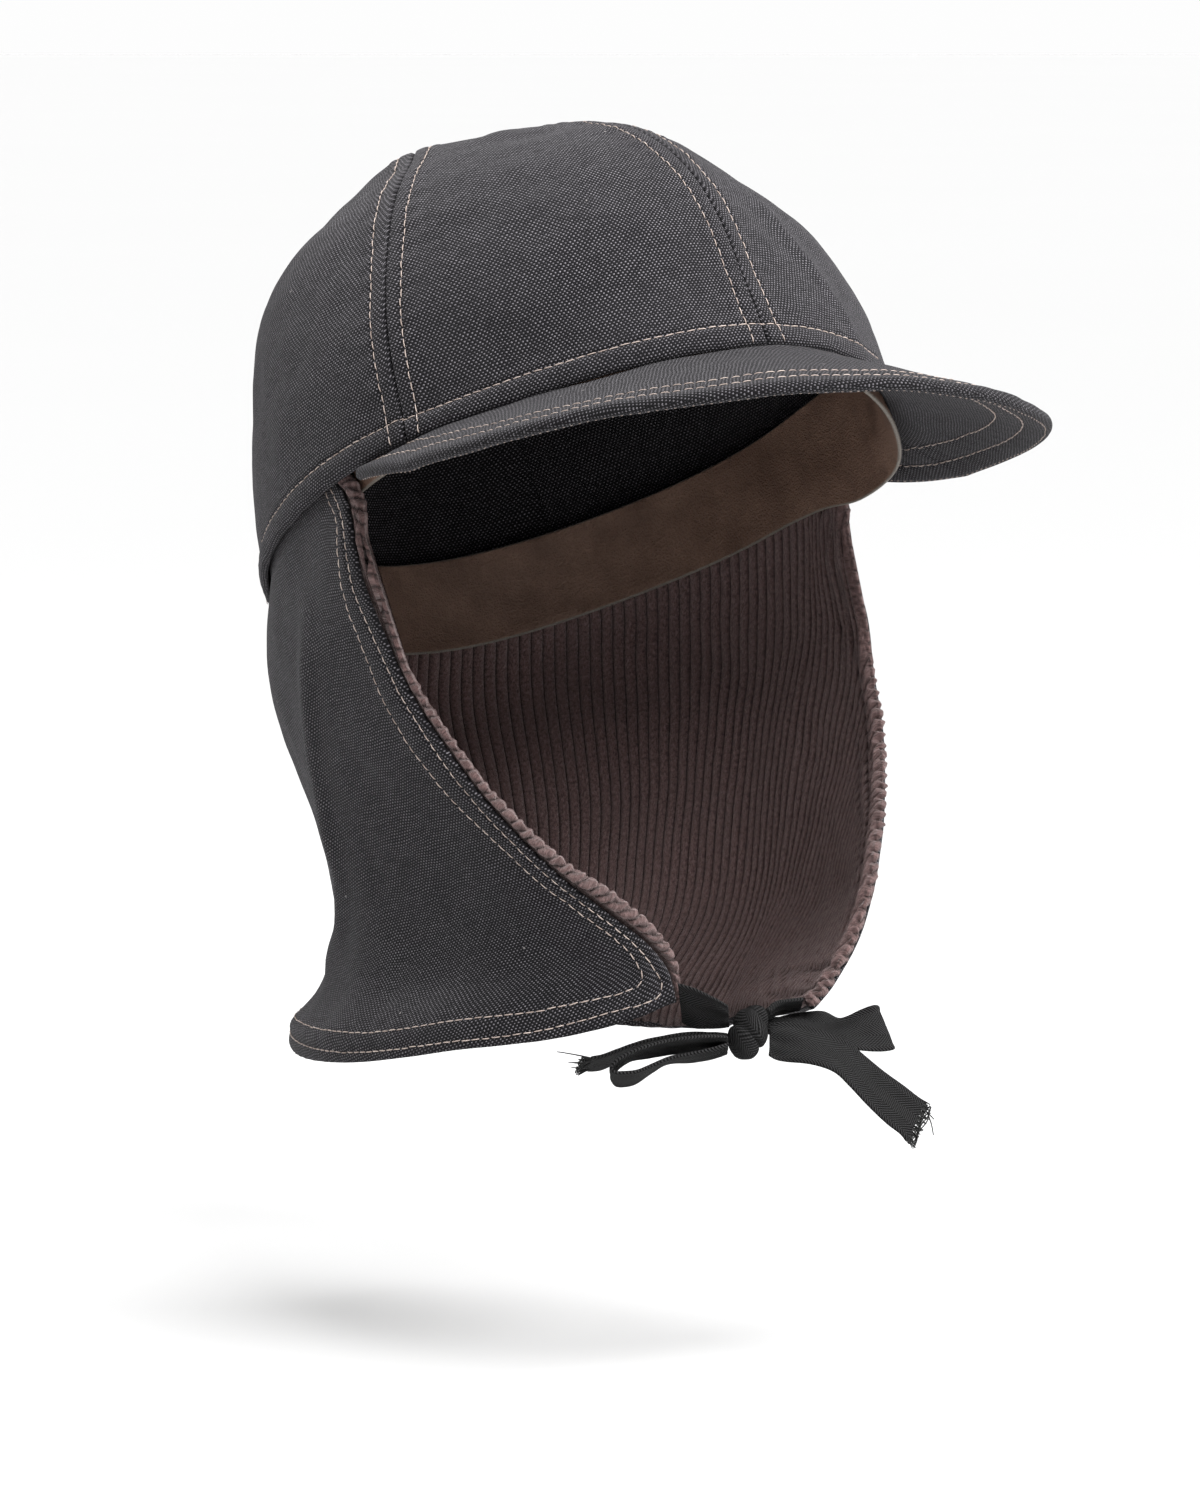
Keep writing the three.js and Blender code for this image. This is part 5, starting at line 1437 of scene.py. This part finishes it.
def lining_piece(side):
    nd, nf, nwa, nL = nose_line(side)
    nose = flap_at(side, nd, nf)
    total = REF_ARC[side][-1]
    q_end = total - np.interp(nd[-1] + .05, ANG_REF, REF_ARC[side])
    count = int(q_end / WALE) + 1
    q = (np.arange(count)[:, None] + PHASES[None]).ravel() * WALE
    q = np.concatenate([q[q < q_end - .05], [q_end]])
    deg = np.interp(total - q, REF_ARC[side], ANG_REF)
    f0 = np.interp(-deg, -nd, nf)
    over = deg > nd[0]
    f0 = np.where(over, np.maximum(-.05, nf[0] - .05 * smooth((deg - nd[0]) / 2.5)), f0)
    # along each vertical line, rows at set distances from the rolled edge
    ff = f0[None] + (1 - f0[None]) * (np.linspace(0, 1, 120)[:, None] ** 1.7)
    col_p = flap_at(side, np.repeat(deg[None], 120, 0), ff)
    away = smooth((deg - nd[0]) / 10)[None]
    dd = dist_to_line(col_p, nose)[0] * (1 - away) + arc(col_p, 0) * away
    dd = np.maximum.accumulate(dd - dd[:1], axis=0) + np.linspace(0, 1e-3, 120)[:, None]
    near = np.array([0, .07, .25, .55, .95, 1.45, 2.0, 2.6, 3.2, 3.8, 4.5, 5.3, 6.1, 7.0, 8.1, 9.3, 11.0, 13])
    fall = []
    for k in range(len(deg)):
        far = dd[-1, k]
        n = near * min(1.0, far / 22.0)
        a = np.interp(n, dd[:, k], ff[:, k])
        fall.append(np.concatenate([a, a[-1] + (1 - a[-1]) * np.linspace(0, 1, 29)[1:]]))
    fall = np.array(fall).T
    DEG = np.repeat(deg[None], len(fall), 0)
    P = flap_at(side, DEG, fall)
    nor = flap_normal(side + 0 * DEG, DEG, fall)
    out_dir = norm(P - np.array([0, 0, 1.0]) * P[..., 2:3])
    nor = nor * np.median(np.sign(np.einsum("ijk,ijk->ij", nor, out_dir)))
    # distance from the rolled edge, and what that edge does at the nearest point
    m = (DEG < nd[0] + 12)
    D = np.full(P.shape[:2], 40.0)
    at = np.zeros(P.shape[:2])
    D[m], at[m] = dist_to_line(P[m], nose)
    s_nose = arc(nose, 0)
    edge_line = flap_at(side, flap_row(np.linspace(0, 1, 700), side)[5], np.linspace(0, 1, 700))
    ahead = norm(nose - edge_line)
    ahead = np.stack([np.interp(at, s_nose, ahead[:, c]) for c in range(3)], -1)
    lean_a = np.interp(at, s_nose, nwa)
    L = np.interp(at, s_nose, nL)
    fl_near = np.interp(at, s_nose, nf)
    D[0] = np.where(over, D[0], 0)
    low = (1.0 - fall) * 128.0
    top = (fall + .05) * 160.0
    q2 = np.repeat(q[None], len(fall), 0)
    rib = wale_profile(q2 / WALE)
    # beads along the rolled edge; where it is too steep for the columns, the shader alone draws them, by bump and by
    # painted shade between the beads
    bead = (at + .9 * D + .40 * np.sin(1.31 * at) + .30 * np.sin(.47 * at + 1)) / 3.7
    q_nose = total - np.interp(nd, ANG_REF, REF_ARC[side])
    steep = np.gradient(q_nose) / np.gradient(s_nose)
    rib_out = .62 + (np.abs(np.sin(np.pi * bead)) ** .75 - .62) * smooth((np.interp(at, s_nose, steep) - .22) / .25)
    P = P + ahead * ((rib_out - .62) * 1.5 * np.clip(1 - D / 2.8, 0, 1) * (~over))[..., None]
    fuzz = sway(P, ((2.4, .20), (1.3, .11)), 61)
    big = sway(P, ((14, .18), (7, .14)), 62)
    nose_t = rounded(D, 2.0) / 2.0
    end_t = rounded(np.minimum(low, np.where(over[None], np.maximum(top, 0), 9)), .9) / .9
    roll = smooth((L + .2 - D) / 1.5)                       # 1 on the roll, 0 under the canvas
    z_out = -1.0 + roll * (-.3 + nose_t * (.55 + 1.6 * rib_out + 1.2 * fuzz + .5 * big))
    body = .45 + 1.25 * rib + .6 * fuzz
    z_in = -1.3 * 1 - nose_t * (.75 + body)
    # the flap's two stitch rows pull the pile in
    r1, r2 = col(FRONT_ROWS, 1, fl_near) + L, col(FRONT_ROWS, 2, fl_near) + L
    z_in = z_in + .95 * np.exp(-((D - r1) / .75) ** 2) + .85 * np.exp(-((D - r2) / .75) ** 2)
    b1, b2 = col(BOTTOM_ROWS, 1, DEG), col(BOTTOM_ROWS, 2, DEG)
    z_in = z_in + .95 * np.exp(-((low - b1) / .75) ** 2) + .85 * np.exp(-((low - b2) / .75) ** 2)
    mid = -1.3
    z_out = mid + (z_out - mid) * end_t
    z_in = mid + (z_in - mid) * end_t
    z_out[0], z_in[0] = np.where(over, z_out[0], mid), np.where(over, z_out[0], mid)
    wave = (flap_sway(P, fall) * np.clip((D - L) / 4, .35, 1))[..., None]
    outer = P + nor * (z_out[..., None] + wave)
    inner = P + nor * (z_in[..., None] + wave)
    # painted shade for the corduroy's groove value: inside, dark in the wale grooves and at the stitch rows; outside,
    # dark wherever the lining lies under the canvas
    pinch = np.exp(-((D - r1) / .9) ** 2) + np.exp(-((D - r2) / .9) ** 2) + np.exp(-((low - b1) / .9) ** 2) + np.exp(-((low - b2) / .9) ** 2)
    painted_shade_in = np.clip((1 - rib) * 1.15 + .45 * pinch, 0, 1)
    painted_shade_out = 1 - roll
    uv = np.stack([side * q2 + 300, fall * 128], -1)
    return shell("flap_lining_" + ("right" if side > 0 else "left"), outer, inner, uv, corduroy,
                 values={"groove": (painted_shade_out, painted_shade_in), "bead": (bead, bead), "roll": (roll, 0 * roll)})


lining = [lining_piece(1.0), lining_piece(-1.0)]
for k, ob in enumerate(lining):
    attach(ob, "root")
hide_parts("flap_lining")


# ------------------------------------------------------------------- tapes
def tape_line(rows, n):
    rows = np.array(rows, float)
    m = len(rows) - 1
    t = np.linspace(0, m, n)
    i = np.clip(np.floor(t).astype(int), 0, m - 1)
    k = (t - i)[:, None]
    g = lambda j: rows[np.clip(j, 0, m)]
    a, b, c, d = g(i - 1), g(i), g(i + 1), g(i + 2)
    return .5 * (2 * b + (c - a) * k + (2 * a - 5 * b + 4 * c - d) * k ** 2 + (3 * b - a - 3 * c + d) * k ** 3)


def tape_piece(name, node, rows, n, seed, gather=(1, 1), full=15.0, held="hung"):
    r = tape_line(rows, n)
    P, A, W = r[:, :3], norm(r[:, 3:6]), r[:, 6]
    across = np.array([0, .03, .09, .2, .35, .6, 1, 1.8, 3.0, 4.2, 5.4, 6.6, 7.5, 8.4, 9.6, 10.8, 12, 13.2, 14, 14.4, 14.65, 14.8, 14.91, 14.97, 15]) / 15 - .5
    s = arc(P, 0)
    M = P[None] + A[None] * (across[:, None] * W[None])[..., None]      # [row across, column along]
    nor = grid_normal(M)
    edge_u = np.minimum(s, s[-1] - s)[None]
    edge_v = (.5 - np.abs(across))[:, None] * W[None]
    half = .48
    t = rounded(np.minimum(edge_u + 0 * edge_v, edge_v), half)
    squeeze = np.clip(1 - W / full, 0, 1)[None]
    ripple = squeeze * 1.5 * np.sin(2 * np.pi * (across[:, None] * 2.3 + .12 * np.sin(s / 5)[None] + seed * .21))
    ripple = ripple * np.clip(np.minimum(edge_u, edge_v) / .8, 0, 1)
    soft = sway(M, ((14, .16), (6, .06)), seed) * np.clip(np.minimum(edge_u, edge_v) / 1.5, 0, 1)
    selv = .10 * np.exp(-((edge_v - .9) / .45) ** 2) * np.clip(edge_u / 1, 0, 1)
    outer = M + nor * (t + ripple + soft + selv)[..., None]
    inner = M - nor * (t - ripple - soft + selv)[..., None]
    uv = np.stack([np.repeat(s[None], len(across), 0) + seed * 13, across[:, None] * full + 0 * s[None] + 100], -1)
    ob = shell(name, outer, inner, uv, twill)
    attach(ob, "root")
    if node:
        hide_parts(node)
    return ob, s[-1], (P, A, W, nor)


strap_r, len_sr, _ = tape_piece("strap_right_tape", "tie_strap_right", STRAP_RIGHT, 44, 3)
strap_l, len_sl, _ = tape_piece("strap_left_tape", "tie_strap_left", STRAP_LEFT, 40, 4)
loop_r, len_lr, _ = tape_piece("bow_loop_right_tape", "bow_loop_right", LOOP_RIGHT, 160, 5)
loop_l, len_ll, _ = tape_piece("bow_loop_left_tape", "bow_loop_left", LOOP_LEFT, 160, 6)
tail_r, len_tr, end_r = tape_piece("bow_tail_right_tape", "bow_tail_right", TAIL_RIGHT, 90, 7)
tail_l, len_tl, end_l = tape_piece("bow_tail_left_tape", "bow_tail_left", TAIL_LEFT, 110, 8)


def knot_piece():
    """A flattened tape knot: wraps that run from upper left to lower right."""
    nu, nv = 120, 72
    a = np.linspace(0, 2 * np.pi, nu + 1)[None]
    b = np.linspace(.0, 1.0, nv + 1)[:, None]
    z = np.cos(np.pi * b)
    rr = np.sqrt(np.maximum(0, 1 - z * z))
    x, y = rr * np.cos(a), rr * np.sin(a)
    z = z + 0 * x
    pinch = 1 - .12 * np.abs(z)
    P = np.stack([KNOT[0] + spow(x, .8) * 5.2 * pinch + .26 * z * 7.3, KNOT[1] + spow(y, .8) * 4.6 * pinch,
                  KNOT[2] + spow(z, .85) * 7.3], -1)
    out = norm(P - np.array(KNOT))
    u = (P - np.array(KNOT)) @ norm(np.array([.80, 0, .60]))
    wrap = .85 * np.abs(np.sin(np.pi * (u / 5.6 + .22 + .05 * np.sin(y * 3)))) ** .6 - .5
    crease = -.45 * np.exp(-((u + 1.4 + .8 * np.sin(2.2 * z)) / .55) ** 2)
    wrap = (wrap + crease) * np.clip(rr * 2.5, 0, 1)
    P = P + out * wrap[..., None]
    verts = np.concatenate([P[0, :1], P[1:-1, :-1].reshape(-1, 3), P[-1, :1]])
    ids = np.zeros((nv + 1, nu), int)
    ids[1:-1] = 1 + np.arange((nv - 1) * nu).reshape(nv - 1, nu)
    ids[-1] = len(verts) - 1
    ids = np.concatenate([ids, ids[:, :1]], 1)
    su, sv = 5.5 * a + 0 * z, 10.0 * (1 - z) / 1.4
    uv = np.stack([sv * .6 + su * .8, su * .6 - sv * .8 + 50], -1)
    quads, uq = [], []
    j, i = np.meshgrid(np.arange(1, nv - 1), np.arange(nu), indexing="ij")
    j, i = j.ravel(), i.ravel()
    quads = np.stack([ids[j, i], ids[j + 1, i], ids[j + 1, i + 1], ids[j, i + 1]], -1)
    uq = np.stack([uv[j, i], uv[j + 1, i], uv[j + 1, i + 1], uv[j, i + 1]], 1)
    i = np.arange(nu)
    t1 = np.stack([ids[0, i], ids[1, i], ids[1, i + 1]], -1)
    u1 = np.stack([uv[0, i], uv[1, i], uv[1, i + 1]], 1)
    t2 = np.stack([ids[-1, i], ids[-2, i + 1], ids[-2, i]], -1)
    u2 = np.stack([uv[-1, i], uv[-2, i + 1], uv[-2, i]], 1)
    tris, ut = np.concatenate([t1, t2]), np.concatenate([u1, u2])
    if volume(verts, [quads, tris]) < 0:
        quads, uq, tris, ut = quads[:, ::-1], uq[:, ::-1], tris[:, ::-1], ut[:, ::-1]
    return build("bow_knot_tape", verts, [quads, tris], np.concatenate([uq.reshape(-1, 2), ut.reshape(-1, 2)]), None, twill)


knot = knot_piece()
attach(knot, "root")
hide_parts("bow_knot")


def fray(name, end, seed, long):
    """Loose yarns at a cut tape end: short straight ones, some curled, a few long."""
    P, A, W, nor = end
    rng = np.random.default_rng(seed)
    tip, a, w = P[-1], A[-1], W[-1]
    d = norm(P[-1] - P[-4])
    n = norm(np.cross(d, a))
    tubes = []
    for k in range(72):
        v = -.48 + .96 * (k + rng.uniform(-.4, .4)) / 71
        size = long * rng.uniform(.45, 1.0) * (1 + (.8 if rng.random() < .06 else 0))
        if k == 66:
            size = long * 2.3
        p0 = tip + a * v * w - d * .8 + n * rng.uniform(-.18, .18)
        lean_a, lean_n = rng.normal(0, .16), rng.normal(0, .18)
        curl = rng.normal(0, .25)
        t = np.linspace(0, 1, 7)
        pts = [p0 + d * size * q + a * size * (lean_a * q + curl * q * q * .5) + n * size * (lean_n * q + .3 * curl * q ** 3)
               for q in t]
        tubes.append(tube(pts, .24 * (1 - .40 * t) * rng.uniform(.8, 1.15), 5))
    # cross yarns lying loose over the end
    for k in range(7):
        q = (k + .5) / 7.5 * long * .80
        t = np.linspace(-.5, .5, 12)
        pts = [tip + a * w * s * rng.uniform(.96, 1.0) + d * (q + .35 * math.sin(s * 9 + k)) + n * (.22 * math.sin(s * 14 + 2 * k)) for s in t]
        tubes.append(tube(pts, .19 + 0 * t, 5))
    ob = join_tubes(name, tubes, dark_thread)
    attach(ob, "root")
    return ob


fray_l = fray("tail_left_fray", end_l, 5, 3.6)
fray_r = fray("tail_right_fray", end_r, 6, 4.2)

made = flush_stitches(thread, None)


# -------------------------------------------------------- floor and lights
def floor_material():
    m = Nodes("pale_floor")
    n = m.noise(m.scale(m.place(), .6), 1.0, 2.0)
    m.link(m.mix(n, (.546, .546, .546), (.554, .554, .554)), m.bsdf.inputs["Base Color"])
    m.bsdf.inputs["Roughness"].default_value = .9
    m.bsdf.inputs["Specular IOR Level"].default_value = .1
    return m.mat


def add_floor():
    bpy.ops.mesh.primitive_plane_add(size=600, location=(0, 0, -.238))
    f = bpy.context.object
    f.name = "floor"
    f.data.materials.append(floor_material())


def add_light(name, towards, distance, size, watts, tint=(1, 1, 1)):
    """A soft panel in a direction given as right of, above and in front of the camera's side."""
    way = cam_right * towards[0] + np.array([0, 0, 1.0]) * towards[1] + to_cam * towards[2]
    place = Vector(way / np.linalg.norm(way) * distance)
    d = bpy.data.lights.new(name, "AREA")
    d.shape = "SQUARE"
    d.size = size
    d.energy = watts
    d.color = tint
    o = bpy.data.objects.new(name, d)
    o.location = place
    o.rotation_euler = (Vector((0, 0, -.02)) - place).to_track_quat("-Z", "Y").to_euler()
    bpy.context.scene.collection.objects.link(o)
    return o


def add_sky_light():
    """Broad light from above, a little from the right and the front, even over the whole floor."""
    way = cam_right * .50 + np.array([0, 0, .9]) + to_cam * .22
    d = bpy.data.lights.new("broad_top_light", "SUN")
    d.energy = 4.8
    d.angle = 75 * math.pi / 180
    o = bpy.data.objects.new("broad_top_light", d)
    o.rotation_euler = (-Vector(way)).to_track_quat("-Z", "Y").to_euler()
    bpy.context.scene.collection.objects.link(o)


def studio_world():
    """White wall behind the cap and low all round, and a darker room above on the other side."""
    world = bpy.data.worlds.new("studio")
    world.use_nodes = True
    tree = world.node_tree
    bg = tree.nodes["Background"]
    bg.inputs["Color"].default_value = (1, 1, 1, 1)
    place = tree.nodes.new("ShaderNodeTexCoord")
    dot = tree.nodes.new("ShaderNodeVectorMath")
    dot.operation = "DOT_PRODUCT"
    dot.inputs[1].default_value = tuple(-to_cam)
    tree.links.new(place.outputs["Generated"], dot.inputs[0])
    ramp = tree.nodes.new("ShaderNodeMapRange")
    ramp.interpolation_type = "SMOOTHSTEP"
    for key, v in (("From Min", -.55), ("From Max", .75), ("To Min", .06), ("To Max", .985)):
        ramp.inputs[key].default_value = v
    tree.links.new(dot.outputs["Value"], ramp.inputs["Value"])
    parts = tree.nodes.new("ShaderNodeSeparateXYZ")
    tree.links.new(place.outputs["Generated"], parts.inputs[0])
    band = tree.nodes.new("ShaderNodeMapRange")
    band.interpolation_type = "SMOOTHSTEP"
    for key, v in (("From Min", .10), ("From Max", .28), ("To Min", .985), ("To Max", 0.0)):
        band.inputs[key].default_value = v
    tree.links.new(parts.outputs["Z"], band.inputs["Value"])
    most = tree.nodes.new("ShaderNodeMath")
    most.operation = "MAXIMUM"
    tree.links.new(ramp.outputs["Result"], most.inputs[0])
    tree.links.new(band.outputs["Result"], most.inputs[1])
    tree.links.new(most.outputs[0], bg.inputs["Strength"])
    bpy.context.scene.world = world


add_floor()
add_sky_light()
add_light("front_right_panel", (.50, .85, .95), 1.5, .9, 30)
add_light("left_rear_panel", (-1.0, .55, -.55), 1.5, .8, 10)
studio_world()
bpy.context.scene.view_settings.view_transform = "Standard"
